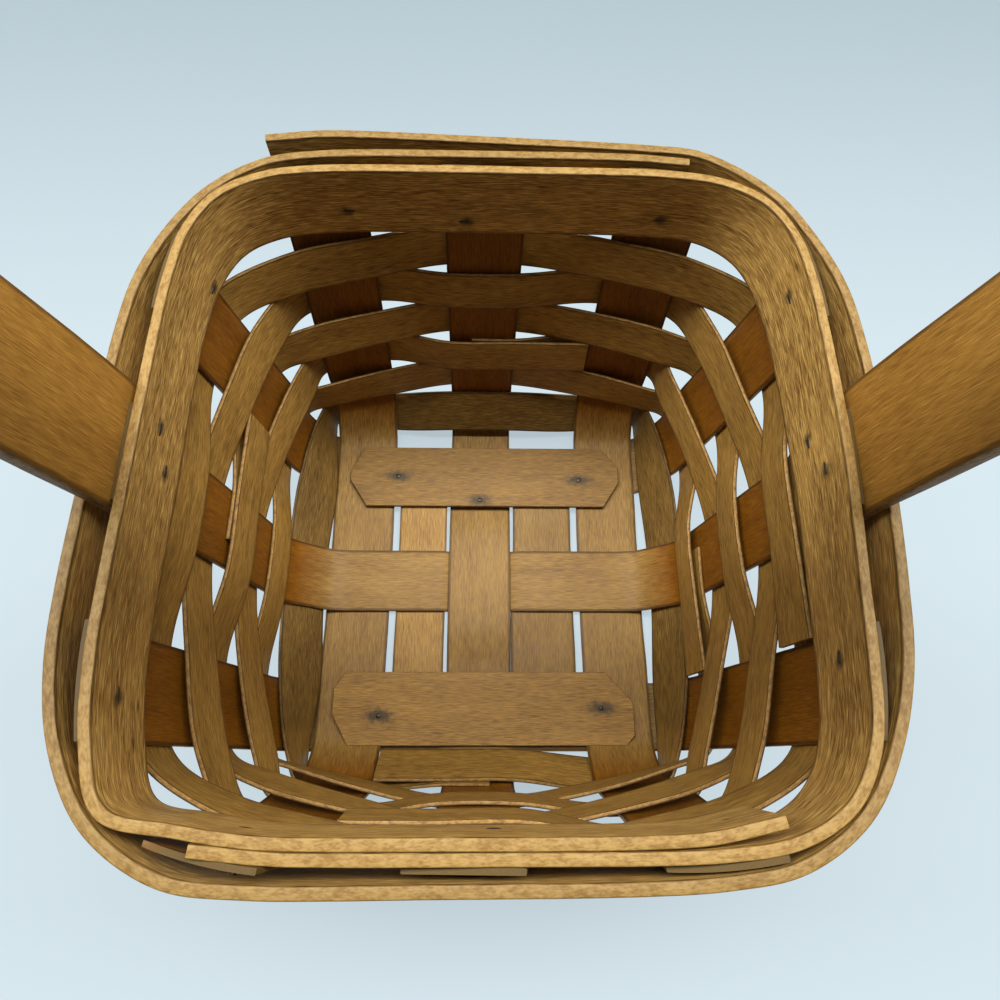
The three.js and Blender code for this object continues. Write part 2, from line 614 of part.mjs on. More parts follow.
// A rim nail is driven from outside and its tip is bent over along the inner band.
function clinchedNail(outer, inner, direction) {
  const lie = inner - NAIL_CLEARANCE - NAIL_RADIUS;
  const rings = headRings(outer + NAIL_CLEARANCE, NAIL_HEAD_RADIUS);
  const BEND_STEPS = 3;
  for (let i = 0; i <= BEND_STEPS; i += 1) {
    const turn = (i / BEND_STEPS) * Math.PI / 2;
    const x = CLINCH_RADIUS * (1 - Math.cos(turn));
    const z = lie + CLINCH_RADIUS * (1 - Math.sin(turn));
    rings.push(ring(NAIL_RADIUS, (u, v) => new THREE.Vector3(
      x + u * Math.cos(turn),
      v,
      z + u * Math.sin(turn),
    )));
  }
  rings.push(ring(NAIL_TIP_RADIUS, (u, v) => new THREE.Vector3(CLINCH_LENGTH, v, lie + u)));
  return loft(rings).rotateZ(direction > 0 ? 0 : Math.PI);
}

function baseNail() {
  const end = NAIL_CLEARANCE;
  return loft([
    ...headRings(CLEAT_TOP + NAIL_CLEARANCE, BASE_NAIL_HEAD_RADIUS),
    ring(NAIL_RADIUS, (x, y) => new THREE.Vector3(x, y, end + UPRIGHT_THICKNESS)),
    ring(NAIL_TIP_RADIUS, (x, y) => new THREE.Vector3(x, y, end)),
  ]);
}

// A frame on a wall for a nail: X along the wall, Y up it, Z outwards.
function wallFrame(wall, s, z) {
  const across = (ds, dz) => wallPoint(wall, s + ds, z + dz, 0).sub(wallPoint(wall, s - ds, z - dz, 0));
  const x = across(1, 0).normalize();
  const out = x.clone().cross(across(0, 1)).normalize();
  const up = out.clone().cross(x);
  return new THREE.Matrix4().makeBasis(x, up, out).setPosition(wallPoint(wall, s, z, 0));
}

const holeAlong = (from, to, frame) => {
  const geometry = new THREE.CylinderGeometry(HOLE_RADIUS, HOLE_RADIUS, to - from, NAIL_SIDES);
  return geometry.rotateX(Math.PI / 2).translate(0, 0, (from + to) / 2).applyMatrix4(frame);
};

// Rim nails: the upright each one goes through, its place along the wall from the upright's middle and
// above the band's middle, and the way its tip is bent.
const RIM_NAILS = [
  { upright: 'frontLeft', along: -1, above: 2, bend: 1 },
  { upright: 'frontCentre', along: 3, above: -2, bend: -1 },
  { upright: 'frontRight', along: 2, above: 1, bend: -1 },
  { upright: 'rightFront', along: 4, above: 0.3, bend: 1 },
  { upright: 'rightMiddle', along: -0.8, above: 2.8, bend: 1 },
  { upright: 'rightMiddle', along: 8, above: -1.5, bend: -1 },
  { upright: 'rightBack', along: -0.3, above: 2.2, bend: -1 },
  { upright: 'backRight', along: 0, above: -2.8, bend: 1 },
  { upright: 'backCentre', along: 4.1, above: -4.7, bend: 1 },
  { upright: 'backLeft', along: -5.4, above: -1.8, bend: -1 },
  { upright: 'leftBack', along: -6.8, above: -6.4, bend: 1 },
  { upright: 'leftMiddle', along: -8, above: 2, bend: 1 },
  { upright: 'leftMiddle', along: 0, above: -3, bend: -1 },
  { upright: 'leftFront', along: 2, above: 1, bend: -1 },
];
const ON_MIDDLE = BAND_BOTTOM + BAND_HEIGHT / 2;
const rimNails = RIM_NAILS.map(({ upright: name, along, above, bend }) => {
  const { wall, s } = PASSES.find((pass) => pass.name === name);
  const at = s + along;
  const frame = wallFrame(wall, at, ON_MIDDLE + above);
  const reach = BAND_OFFSET + BAND_THICKNESS / 2;
  const inner = standOff(INNER_STRETCHES.findLast((part) => part.wall === wall), at) - reach;
  const outer = standOff(OUTER_STRETCHES.findLast((part) => part.wall === wall), at) + reach;
  const hole = holeAlong(inner - BAND_THICKNESS, outer + BAND_THICKNESS, frame);
  return { name, frame, hole, geometry: clinchedNail(outer, inner, bend) };
});

// Base nails go through a cleat into the uprights below it. The first one has found the gap beside the
// left upright and holds in the cross upright alone.
const BASE_NAILS = [
  [LEFT_SPAN[1] + FILLER_SIDE_GAP / 2, BACK_CLEAT_Y],
  [CENTRE_SHIFT, BACK_CLEAT_Y - CLEAT_WIDTH / 2 + BASE_NAIL_EDGE],
  [RIGHT_SPAN[0] + BASE_NAIL_INSET, BACK_CLEAT_Y - BASE_NAIL_INSET],
  [LEFT_SPAN[1] - BASE_NAIL_INSET, FRONT_CLEAT_Y - BASE_NAIL_EDGE],
  [RIGHT_SPAN[0] + DEEP_NAIL_INSET, FRONT_CLEAT_Y],
];
const baseNails = BASE_NAILS.map(([x, y]) => {
  const frame = new THREE.Matrix4().makeTranslation(x, y, 0);
  return { x, y, frame, hole: holeAlong(-UPRIGHT_THICKNESS, CLEAT_TOP + CLEAT_THICKNESS, frame) };
});

const basket = new THREE.Group();
function add(name, geometry, finish) {
  const mesh = new THREE.Mesh(geometry, new THREE.MeshStandardMaterial(finish));
  mesh.name = name;
  basket.add(mesh);
  return mesh;
}

const rimHoles = (...names) => rimNails.filter((n) => names.includes(n.name)).map((n) => n.hole);
const within = (value, [low, high]) => value > low && value < high;
const holesUnder = (xs, ys) => baseNails.filter((n) => within(n.x, xs) && within(n.y, ys)).map((n) => n.hole);
const EVERYWHERE = [-Infinity, Infinity];

const UPRIGHTS = [
  ['upright_left', LEFT_SPAN, OVER_ENDS, ['frontLeft', 'backLeft']],
  ['upright_centre', CENTRE_SPAN, UNDER_ENDS, ['frontCentre', 'backCentre']],
  ['upright_right', RIGHT_SPAN, OVER_ENDS, ['frontRight', 'backRight']],
];
for (const [name, at, levels, ends] of UPRIGHTS) {
  add(name, cut(upright(at, levels), [...rimHoles(...ends), ...holesUnder(at, EVERYWHERE)]), UPRIGHT);
}

const CROSS_UPRIGHTS = [
  ['cross_upright_front', FRONT_SPAN, UNDER_ENDS, ['leftFront', 'rightFront']],
  ['cross_upright_middle', MIDDLE_SPAN, OVER_ENDS, ['leftMiddle', 'rightMiddle']],
  ['cross_upright_back', BACK_SPAN, UNDER_ENDS, ['leftBack', 'rightBack']],
];
for (const [name, at, levels, ends] of CROSS_UPRIGHTS) {
  add(name, cut(crossUpright(at, levels), [...rimHoles(...ends), ...holesUnder(EVERYWHERE, at)]), UPRIGHT);
}

add('filler_left', filler(LEFT_FILLER), SPLINT);
add('filler_right', filler(RIGHT_FILLER), SPLINT);

const CLEATS = [
  ['cleat_back', BACK_CLEAT_Y, BACK_CLIPS],
  ['cleat_front', FRONT_CLEAT_Y, FRONT_CLIPS],
];
for (const [name, y, clips] of CLEATS) {
  add(name, cut(cleat(y, clips), holesUnder(EVERYWHERE, span(y, CLEAT_WIDTH))), BOARD);
}

for (let row = 0; row < ROW_COUNT; row += 1) add(`weaver_${row + 1}`, weaver(row), SPLINT);

const everyRimHole = rimNails.map((n) => n.hole);
const innerBand = rimBand(INNER_STRETCHES, INNER_LAP_LEFT, INNER_LAP_RIGHT, -BAND_OFFSET, -BAND_OFFSET);
const TOUCHING = BAND_LAYER - BAND_OFFSET;
const outerBand = rimBand(OUTER_STRETCHES, -OUTER_LAP_RIGHT, -OUTER_LAP_LEFT, BAND_OFFSET, TOUCHING);
add('inner_band', cut(innerBand, everyRimHole), BAND);
add('outer_band', cut(outerBand, everyRimHole), BAND);

add('handle', cut(handle(), rimHoles('leftMiddle', 'rightMiddle')), BENT_WOOD);

rimNails.forEach((nail, i) => {
  const mesh = add(`rim_nail_${String(i + 1).padStart(2, '0')}`, nail.geometry, IRON);
  mesh.applyMatrix4(nail.frame);
});
baseNails.forEach((nail, i) => {
  const mesh = add(`base_nail_${i + 1}`, baseNail(), IRON);
  mesh.applyMatrix4(nail.frame);
});

export default basket;
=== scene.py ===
# %% [markdown]
# # A small splint basket, dressed round its fixed frame
#
# The basket is woven from flat splints of maple: six uprights that cross on the base and stand up as
# ribs, six weavers that go in and out of them, two bands that grip the rim, two cleats nailed over the
# base, and a bent handle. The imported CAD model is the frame. Each splint of it is replaced here by a
# finer one in the same place, with rounded edges, bowed stretches, lapped ends and a wood finish.

# %% Load the fixed frame
import math
from collections import namedtuple

import bmesh
import bpy
import numpy as np
from mathutils import Matrix, Vector


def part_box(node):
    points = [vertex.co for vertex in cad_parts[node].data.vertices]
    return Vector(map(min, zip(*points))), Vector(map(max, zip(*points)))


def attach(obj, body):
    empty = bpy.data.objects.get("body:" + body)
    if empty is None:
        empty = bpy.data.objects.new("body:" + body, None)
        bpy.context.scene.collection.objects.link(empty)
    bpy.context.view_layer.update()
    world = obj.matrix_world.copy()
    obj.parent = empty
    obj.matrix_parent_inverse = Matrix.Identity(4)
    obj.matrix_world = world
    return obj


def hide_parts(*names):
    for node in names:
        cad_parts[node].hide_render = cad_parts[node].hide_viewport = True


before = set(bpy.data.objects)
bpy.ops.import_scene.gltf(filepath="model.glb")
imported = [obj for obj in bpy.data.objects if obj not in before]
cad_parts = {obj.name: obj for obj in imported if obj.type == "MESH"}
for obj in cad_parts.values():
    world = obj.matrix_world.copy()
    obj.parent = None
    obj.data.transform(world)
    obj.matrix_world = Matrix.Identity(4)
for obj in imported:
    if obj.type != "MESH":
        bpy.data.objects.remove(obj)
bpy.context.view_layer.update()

# %% [markdown]
# ## Sizes
#
# A piece that stands for a CAD node has to lie where the node lies. What a node's box can tell, such as
# where the uprights stand and how high the rim is, is therefore read from the frame. What a box can't
# tell, such as the thickness of a splint or the slope of the walls, is written here as in the CAD model.
# The real basket isn't quite regular: its rim sits a little to one side, and its right wall leans in
# towards the front.

# %% Sizes read from the frame
MM = 0.001
X, Y, Z = 0, 1, 2


def extent(node, axis):
    low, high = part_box(node)
    return low[axis], high[axis]


def middle(node, axis):
    return sum(extent(node, axis)) / 2


UPRIGHT_WIDTH = 19.0 * MM
UPRIGHT_PITCH = -extent("upright_left", X)[0] - UPRIGHT_WIDTH / 2
CENTRE_SHIFT = extent("upright_centre", X)[0] + UPRIGHT_WIDTH / 2
CROSS_PITCH = extent("cross_upright_back", Y)[1] - UPRIGHT_WIDTH / 2
BAND_FOOT, RIM_TOP = extent("inner_band", Z)
UPRIGHT_TOP = extent("upright_left", Z)[1]

SPLINT_THICKNESS = 1.0 * MM
BAND_THICKNESS = 2.0 * MM
WEAVER_HEIGHT = 11.9 * MM
ROW_PITCH = 12.5 * MM
FIRST_ROW = 4.5 * MM
SNUG = 0.06 * MM
HALF_WIDTH = 56.0 * MM
HALF_DEPTH = 57.2 * MM
WALL_SLOPE = 0.128
RIM_SLOPE = 0.02
RIM_SHIFT_X, RIM_SHIFT_Y = 1.4 * MM, -1.2 * MM
SKEW, SKEW_START, SKEW_END = 2.4 * MM, 5 * MM, -40 * MM
FOOT_HEIGHT = FIRST_ROW + WEAVER_HEIGHT
FOOT_TUCK = 5.3 * MM
ROUNDING_HEIGHT = 29.2 * MM
CORNER_POWER = 5.6
print("rim at", round(RIM_TOP / MM, 1), "mm, uprights", round(UPRIGHT_WIDTH / MM, 1), "mm wide")

# %% [markdown]
# ## The walls as a rule
#
# Every splint of the walls follows one surface: a rounded square that widens upwards, stands nearly
# straight at the rim and tucks in at the foot. A place on it is given by a wall, a distance along the
# wall, a height and an offset outwards. Weavers and bands are then lists of such places, in order round
# the basket, for their lower and their upper edge.

# %% Places on the walls
Wall = namedtuple("Wall", "along out half reach places")
FRONT = Wall((1, 0), (0, -1), HALF_DEPTH, HALF_WIDTH, (-UPRIGHT_PITCH, CENTRE_SHIFT, UPRIGHT_PITCH))
RIGHT = Wall((0, 1), (1, 0), HALF_WIDTH, HALF_DEPTH, (-CROSS_PITCH, 0.0, CROSS_PITCH))
BACK = Wall((-1, 0), (0, 1), HALF_DEPTH, HALF_WIDTH, (-UPRIGHT_PITCH, -CENTRE_SHIFT, UPRIGHT_PITCH))
LEFT = Wall((0, -1), (-1, 0), HALF_WIDTH, HALF_DEPTH, (-CROSS_PITCH, 0.0, CROSS_PITCH))
WALLS = [FRONT, RIGHT, BACK, LEFT]


def flare(z):
    """How far the wall stands out at a height."""
    lean = WALL_SLOPE * min(z, BAND_FOOT) + RIM_SLOPE * max(z - BAND_FOOT, 0)
    return lean - FOOT_TUCK * max(1 - z / FOOT_HEIGHT, 0)


def settle(x, y, z):
    """Carries a point along with the rim's shift, which grows up to the rim."""
    share = min(z / RIM_TOP, 1)
    return [x + RIM_SHIFT_X * share, y + RIM_SHIFT_Y * share, z]


def skew(x, y, z):
    """The right wall leans in towards the front, more at the rim."""
    share = min(max((y - SKEW_START) / (SKEW_END - SKEW_START), 0), 1)
    eased = share * share * (3 - 2 * share)
    side = min(max(x / HALF_WIDTH, 0), 1)
    return [x - SKEW * eased * side * min(z / RIM_TOP, 1), y, z]


def rounding(z):
    """How round the corners are, from square at the foot."""
    return min(max(z / ROUNDING_HEIGHT, 0), 1)


def stretch(z):
    """A distance square to the wall is longer where the foot slopes."""
    return 1 if z > FOOT_HEIGHT else math.hypot(1, WALL_SLOPE + FOOT_TUCK / FOOT_HEIGHT)


def wall_out(wall, s, z):
    """Distance of the wall from the middle, less towards its corners."""
    share = min(abs(s) / (wall.reach + flare(z)), 1) ** CORNER_POWER
    drop = 1 - (1 - share) ** (1 / CORNER_POWER)
    return (wall.half + flare(z)) * (1 - drop * rounding(z))


def spot(wall, s, out, z):
    """The point at a distance along a wall and a distance out from the middle."""
    x, y = (along * s + outwards * out for along, outwards in zip(wall.along, wall.out))
    return skew(*settle(x, y, z))


def wall_spot(wall, s, z, offset):
    """The point of a wall at a height, moved square to the wall by an offset."""
    return spot(wall, s, wall_out(wall, s, z) + offset * stretch(z), z)


def corner_spot(wall, z, offset):
    """The point in the middle of the corner after a wall."""
    share = 0.5 ** (1 / CORNER_POWER)
    diagonal = offset * math.sqrt(0.5)
    s, out = ((size + flare(z)) * share + diagonal for size in (wall.reach, wall.half))
    return spot(wall, s, out, z)


print("half width at the rim", round(wall_out(RIGHT, 0, RIM_TOP) / MM, 1), "mm")

# %% [markdown]
# ## Bowed paths
#
# A splint is stiff: it bends smoothly through the places that hold it. Straight pieces between those places
# would show a kink at each, so the two edges are laid through their places as one smooth line, and that line
# is divided into even steps.

# %% Smooth lines through the places that hold a splint
STEP, LEAST_STEPS = 1.0 * MM, 4


def bowed(stations, parts=12):
    """A Catmull-Rom curve through stations. A station is a point of the lower and one of the upper edge."""
    p = np.array(stations, float)
    p = np.concatenate([[2 * p[0] - p[1]], p, [2 * p[-1] - p[-2]]])
    line = []
    for a, b, c, d in zip(p, p[1:], p[2:], p[3:]):
        t1 = np.linalg.norm(b - a) ** 0.5
        t2 = t1 + np.linalg.norm(c - b) ** 0.5
        t3 = t2 + np.linalg.norm(d - c) ** 0.5
        for t in np.linspace(t1, t2, parts, endpoint=False):
            ab, bc = a + (b - a) * t / t1, b + (c - b) * (t - t1) / (t2 - t1)
            cd = c + (d - c) * (t - t2) / (t3 - t2)
            abc, bcd = ab + (bc - ab) * t / t2, bc + (cd - bc) * (t - t1) / (t3 - t1)
            line.append(abc + (bcd - abc) * (t - t1) / (t2 - t1))
    return np.array(line + [p[-2]])


def even(line, ease, step=STEP):
    """Even steps along a line of edge points, with each value averaged over a short stretch."""
    line = np.array(line, float)
    middle_line = (line[:, :3] + line[:, 3:6]) / 2
    run = np.r_[0, np.cumsum(np.linalg.norm(np.diff(middle_line, axis=0), axis=1))]
    count = max(int(round(run[-1] / step)), LEAST_STEPS)
    at = np.linspace(0, run[-1], count + 1)
    data = np.stack([np.interp(at, run, column) for column in line.T], 1)
    half = min(int(ease / step / 2), count // 2)
    if half:
        kernel = np.hanning(2 * half + 3)[1:-1]
        kernel /= kernel.sum()
        before = 2 * data[0] - data[half:0:-1]
        after = 2 * data[-1] - data[-2:-half - 2:-1]
        padded = np.concatenate([before, data, after])
        data = np.stack([np.convolve(column, kernel, "valid") for column in padded.T], 1)
    return data[:, :3], data[:, 3:6], data[:, 6:]


# %% [markdown]
# ## A splint along a path
#
# All splints are one idea: a flat section that follows a path. A Geometry Nodes tree sweeps the section
# along the path, so one tree makes weavers, bands, uprights, fillers and handle. A curve with a bevel would
# twist freely, so here each point of the path carries its own directions, and the tree puts every vertex at
# its place across and through the splint. It also keeps the splint's own coordinates, along, across and
# through, in an attribute named grain. The finish reads them, so the grain follows each bend. A little noise
# makes cut edges uneven.

# %% Node helpers
def node(tree, kind, inputs=None, **settings):
    made = tree.nodes.new(kind)
    for key, value in settings.items():
        setattr(made, key, value)
    for key, value in (inputs or {}).items():
        if isinstance(value, bpy.types.NodeSocket):
            tree.links.new(value, made.inputs[key])
        else:
            made.inputs[key].default_value = value
    return made


def calc(tree, operation, *values):
    return node(tree, "ShaderNodeMath", dict(enumerate(values)), operation=operation).outputs[0]


def vector(tree, operation, *values):
    made = node(tree, "ShaderNodeVectorMath", operation=operation)
    for k, value in enumerate(values):
        target = made.inputs["Scale"] if operation == "SCALE" and k == 1 else made.inputs[k]
        if isinstance(value, bpy.types.NodeSocket):
            tree.links.new(value, target)
        else:
            target.default_value = value
    return made.outputs[0]


def socket(tree, name, kind, default=None, output=False):
    direction = "OUTPUT" if output else "INPUT"
    made = tree.interface.new_socket(name, in_out=direction, socket_type="NodeSocket" + kind)
    if default is not None:
        made.default_value = default


# %% The tree that sweeps a splint
EDGE_NOISE, WANDER_NOISE, UNEVEN_DETAIL = (700, 300, 900), (45, 0, 0), 2.0


def stored(tree, name, kind="FLOAT"):
    made = node(tree, "GeometryNodeInputNamedAttribute", {"Name": name}, data_type=kind)
    return made.outputs["Attribute"]


def splint_tree():
    tree = bpy.data.node_groups.new("splint_along_path", "GeometryNodeTree")
    socket(tree, "Path", "Geometry")
    socket(tree, "Section", "Object")
    for name in ("Wander", "Edge Roughness", "Seed", "Tone"):
        socket(tree, name, "Float", 0.0)
    socket(tree, "Finish", "Material")
    socket(tree, "Splint", "Geometry", output=True)
    given = node(tree, "NodeGroupInput").outputs
    profile = node(tree, "GeometryNodeObjectInfo", {"Object": given["Section"]})
    outline = node(tree, "GeometryNodeMeshToCurve", {"Mesh": profile.outputs["Geometry"]})
    line = node(tree, "GeometryNodeMeshToCurve", {"Mesh": given["Path"]})
    length = node(tree, "GeometryNodeSplineParameter").outputs["Length"]
    marked = node(tree, "GeometryNodeStoreNamedAttribute",
                  {"Geometry": line.outputs[0], "Name": "along", "Value": length})
    swept = node(tree, "GeometryNodeCurveToMesh",
                 {"Curve": marked.outputs[0], "Profile Curve": outline.outputs[0], "Fill Caps": True})

    along, across, depth = stored(tree, "along"), stored(tree, "across"), stored(tree, "depth")
    edge, share, cup = stored(tree, "edge"), stored(tree, "share"), stored(tree, "cup")
    side, wide = stored(tree, "side", "FLOAT_VECTOR"), stored(tree, "wide")
    facing, centre = stored(tree, "facing", "FLOAT_VECTOR"), stored(tree, "centre", "FLOAT_VECTOR")
    shifted = calc(tree, "ADD", along, given["Seed"])
    reach = calc(tree, "MULTIPLY", across, wide)
    grain = node(tree, "ShaderNodeCombineXYZ", {"X": shifted, "Y": reach, "Z": depth}).outputs[0]

    def unevenness(scale, amount):
        """Noise from minus one to one along the grain, times an amount."""
        stretched = vector(tree, "MULTIPLY", grain, scale)
        noise = node(tree, "ShaderNodeTexNoise", {"Vector": stretched, "Scale": 1.0, "Detail": UNEVEN_DETAIL})
        centred = calc(tree, "SUBTRACT", noise.outputs[0], 0.5)
        return calc(tree, "MULTIPLY", calc(tree, "MULTIPLY", centred, 2.0), amount)

    rough = unevenness(EDGE_NOISE, given["Edge Roughness"])
    rough = calc(tree, "MULTIPLY", calc(tree, "MULTIPLY", rough, edge), calc(tree, "SIGN", across))
    wander = unevenness(WANDER_NOISE, given["Wander"])
    reach = calc(tree, "ADD", reach, rough)
    bulge = calc(tree, "MULTIPLY", cup, calc(tree, "SUBTRACT", 1.0, calc(tree, "MULTIPLY", share, share)))
    lift = calc(tree, "MULTIPLY_ADD", depth, stored(tree, "thick"), calc(tree, "ADD", wander, bulge))
    place = vector(tree, "ADD", centre, vector(tree, "SCALE", side, reach))
    place = vector(tree, "ADD", place, vector(tree, "SCALE", facing, lift))
    placed = node(tree, "GeometryNodeSetPosition", {"Geometry": swept.outputs[0], "Position": place})
    kept = node(tree, "GeometryNodeStoreNamedAttribute",
                {"Geometry": placed.outputs[0], "Name": "grain", "Value": grain}, data_type="FLOAT_VECTOR")
    # The stored tone is the piece's own tone plus the painted shade that its path carries.
    tone = calc(tree, "ADD", given["Tone"], stored(tree, "shade"))
    toned = node(tree, "GeometryNodeStoreNamedAttribute",
                 {"Geometry": kept.outputs[0], "Name": "tone", "Value": tone})
    soft = node(tree, "GeometryNodeSetShadeSmooth", {"Geometry": toned.outputs[0], "Shade Smooth": True})
    real = node(tree, "GeometryNodeRealizeInstances", {"Geometry": soft.outputs[0]})
    done = node(tree, "GeometryNodeSetMaterial", {"Geometry": real.outputs[0], "Material": given["Finish"]})
    node(tree, "NodeGroupOutput", {"Splint": done.outputs[0]})
    return tree


SPLINT_TREE = splint_tree()
print("splint tree of", len(SPLINT_TREE.nodes), "nodes")

# %% Sections and paths
def fresh_object(name, data):
    """An object for a mesh, lamp or camera, linked to the scene."""
    made = bpy.data.objects.new(name, data)
    bpy.context.scene.collection.objects.link(made)
    return made


def store(mesh, key, values, vectors=False):
    """Keeps one value or one vector for each point of a mesh."""
    layer = mesh.attributes.new(key, "FLOAT_VECTOR" if vectors else "FLOAT", "POINT")
    layer.data.foreach_set("vector" if vectors else "value", np.array(values, float).ravel())


def section(name, width, thickness, edge, columns):
    """A flat section with rounded edges. Its points know where they lie and whether they are edge."""
    w, t = width / 2 - edge, thickness / 2 - edge
    arc = [math.radians(a) for a in (0, 30, 60, 90)]
    quarter = [(edge * math.sin(a), edge * math.cos(a), a / math.radians(90)) for a in arc]
    points = []
    flat = [(-w + 2 * w * k / columns, thickness / 2, 0.0) for k in range(1, columns)]
    right = [(w + dx, t + dy, mask) for dx, dy, mask in quarter]
    points += flat + right
    points += [(x, -y, mask) for x, y, mask in reversed(right)]
    points += [(-x, -y, mask) for x, y, mask in flat]
    points += [(-x, -y, mask) for x, y, mask in right]
    points += [(-x, y, mask) for x, y, mask in reversed(right)]
    mesh = bpy.data.meshes.new(name)
    count = len(points)
    mesh.from_pydata([(x, y, 0) for x, y, _ in points], [(k, (k + 1) % count) for k in range(count)], [])
    across, depth, masks = np.array(points).T
    for key, values in (("across", across), ("depth", depth), ("edge", masks), ("share", 2 * across / width)):
        store(mesh, key, values)
    return fresh_object(name, mesh)


def unit(rows):
    return rows / np.linalg.norm(rows, axis=1)[:, None]


def path_object(name, low, high, width, thick=1.0, shade=0.0, cup=0.0):
    """A line of points that carry the splint's directions, width, thickness, shade and cup."""
    points = (low + high) / 2
    tangent = unit(np.gradient(points, axis=0))
    facing = unit(np.cross(tangent, high - low))
    side = np.cross(facing, tangent)
    wide = np.linalg.norm(high - low, axis=1) / width
    count = len(points)
    mesh = bpy.data.meshes.new(name)
    mesh.from_pydata(points.tolist(), [(k, k + 1) for k in range(count - 1)], [])
    for key, rows in (("centre", points), ("side", side), ("facing", facing)):
        store(mesh, key, rows, vectors=True)
    for key, value in (("wide", wide), ("shade", shade), ("thick", thick), ("cup", cup)):
        store(mesh, key, np.broadcast_to(value, (count,)))
    return fresh_object(name, mesh)


# %% Finished pieces
def apply_tree(thing, tree, inputs):
    """Runs a node tree on an object and keeps the result as its plain mesh."""
    modifier = thing.modifiers.new("nodes", "NODES")
    modifier.node_group = tree
    names = {item.name: item.identifier for item in tree.interface.items_tree if item.in_out == "INPUT"}
    for key, value in inputs.items():
        modifier[names[key]] = value
    graph = bpy.context.evaluated_depsgraph_get()
    mesh = bpy.data.meshes.new_from_object(thing.evaluated_get(graph))
    thing.modifiers.remove(modifier)
    thing.data = mesh
    mesh.name = thing.name
    return thing


def face_outwards(thing):
    """Turns all faces of a closed piece to the outside."""
    shape = bmesh.new()
    shape.from_mesh(thing.data)
    bmesh.ops.recalc_face_normals(shape, faces=shape.faces)
    shape.to_mesh(thing.data)
    shape.free()


def finish_piece(thing, nodes):
    """Puts a finished piece in the place of its CAD nodes."""
    face_outwards(thing)
    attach(thing, "root")
    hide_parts(*nodes)
    print(thing.name, len(thing.data.polygons), "faces")
    return thing


SPLINT_EDGE, EDGE_ROUGHNESS, WANDER = 0.18 * MM, 0.05 * MM, 0.06 * MM


def splint(name, slot, edges, width, profile, finish, nodes, seed,
           tone=0.0, roughness=EDGE_ROUGHNESS, **shape):
    """Sweeps a section along a splint's two edges and finishes the piece."""
    low, high, _ = edges
    thing = path_object(name, low, high, width, **shape)
    apply_tree(thing, SPLINT_TREE, {
        "Section": profile, "Wander": WANDER, "Edge Roughness": roughness, "Seed": seed, "Tone": tone,
        "Finish": finish,
    })
    return finish_piece(thing, nodes)


# %% [markdown]
# ## Where the nails are
#
# The CAD nails say where iron has stained the wood. The places could be worked out again from the uprights,
# but the frame already knows them. For each rim nail the wall and the place along it are found from the
# nail's head, which lies on the outside.

# %% Nail places
RIM_NAIL_COUNT, BASE_NAIL_COUNT = 14, 5
RIM_NAILS = [f"rim_nail_{k + 1:02d}" for k in range(RIM_NAIL_COUNT)]
BASE_NAILS = [f"base_nail_{k + 1}" for k in range(BASE_NAIL_COUNT)]
HEAD_SKIN, CLINCH_SKIN = 0.3 * MM, 1.0 * MM
RimNail = namedtuple("RimNail", "wall s z bend")


def rim_nail(name):
    """Where a CAD nail goes through the rim, and which way its tip is bent inside."""
    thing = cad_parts[name]
    points = np.array([thing.matrix_world @ v.co for v in thing.data.vertices])
    centre = points.mean(0)
    wall = max(WALLS, key=lambda w: np.dot(w.out, centre[:2]) / w.half)
    out = points[:, :2] @ np.array(wall.out)
    head = points[out > out.max() - HEAD_SKIN].mean(0)
    unsettled = head[:2] - np.array(settle(0, 0, head[Z])[:2])
    along = np.array(wall.along)
    clinch = points[out < out.min() + CLINCH_SKIN].mean(0)
    bend = math.copysign(1, along @ (clinch - head)[:2])
    return RimNail(wall, float(along @ unsettled), float(head[Z]), bend)


rim_nails = [rim_nail(name) for name in RIM_NAILS]
cleat_top = extent("cleat_back", Z)[1]
base_nails = [Vector((middle(name, X), middle(name, Y), cleat_top)) for name in BASE_NAILS]
print(len(rim_nails), "rim nails and", len(base_nails), "base nails")

# %% [markdown]
# ## Wood finish
#
# The splints are maple under a brown stain. The stain sits between the fibres, so each face shows short,
# fine, pale flecks along the splint on a darker ground, with soft clouds between. Sawn edges drank less
# stain and stay pale and blotched, and a thin dark line runs beside them. On the weavers, painted shade
# darkens the outer half of each sawn edge. On the walls the uprights carry painted shade, a deeper orange
# like wood in shade lit by light bounced off wood, and their tops between the bands are darkened with
# painted shade. A picture of wood could show all this, but it would not follow the bends. One node group
# makes it from the grain attribute, and each kind of splint has its own colours. A second group makes the
# dark stain that iron leaves round a nail.

# %% Colours, mixes and ramps
def linear(r, g, b):
    """A colour written as it looks on a screen, 0 to 255."""
    def channel(v):
        v /= 255
        return v / 12.92 if v <= 0.04045 else ((v + 0.055) / 1.055) ** 2.4
    return (channel(r), channel(g), channel(b), 1.0)


def mix(tree, factor, a, b, blend="MIX"):
    made = node(tree, "ShaderNodeMix", data_type="RGBA", blend_type=blend)
    for key, value in ((0, factor), (6, a), (7, b)):
        if isinstance(value, bpy.types.NodeSocket):
            tree.links.new(value, made.inputs[key])
        else:
            made.inputs[key].default_value = value
    return made.outputs[2]


def ramp(tree, value, low, high):
    made = node(tree, "ShaderNodeMapRange", {"Value": value, "From Min": low, "From Max": high},
                interpolation_type="SMOOTHSTEP")
    return made.outputs[0]


# %% The wood grain group
# Each noise has a length along the splint, a width across it and a detail.
FIBRE, STREAK, CLOUD = (3.4 * MM, 0.26 * MM, 2.0), (12 * MM, 1.3 * MM, 2.0), (30 * MM, 9 * MM, 2.0)
FLECK, DARK_LINE, PORE = (3.6 * MM, 0.22 * MM, 1.0), (8 * MM, 0.4 * MM, 1.0), (1.4 * MM, 0.22 * MM, 1.0)
BLOTCH, SPECKLE = (2.0 * MM, 1.0 * MM, 2.0), (0.8 * MM, 0.3 * MM, 1.0)
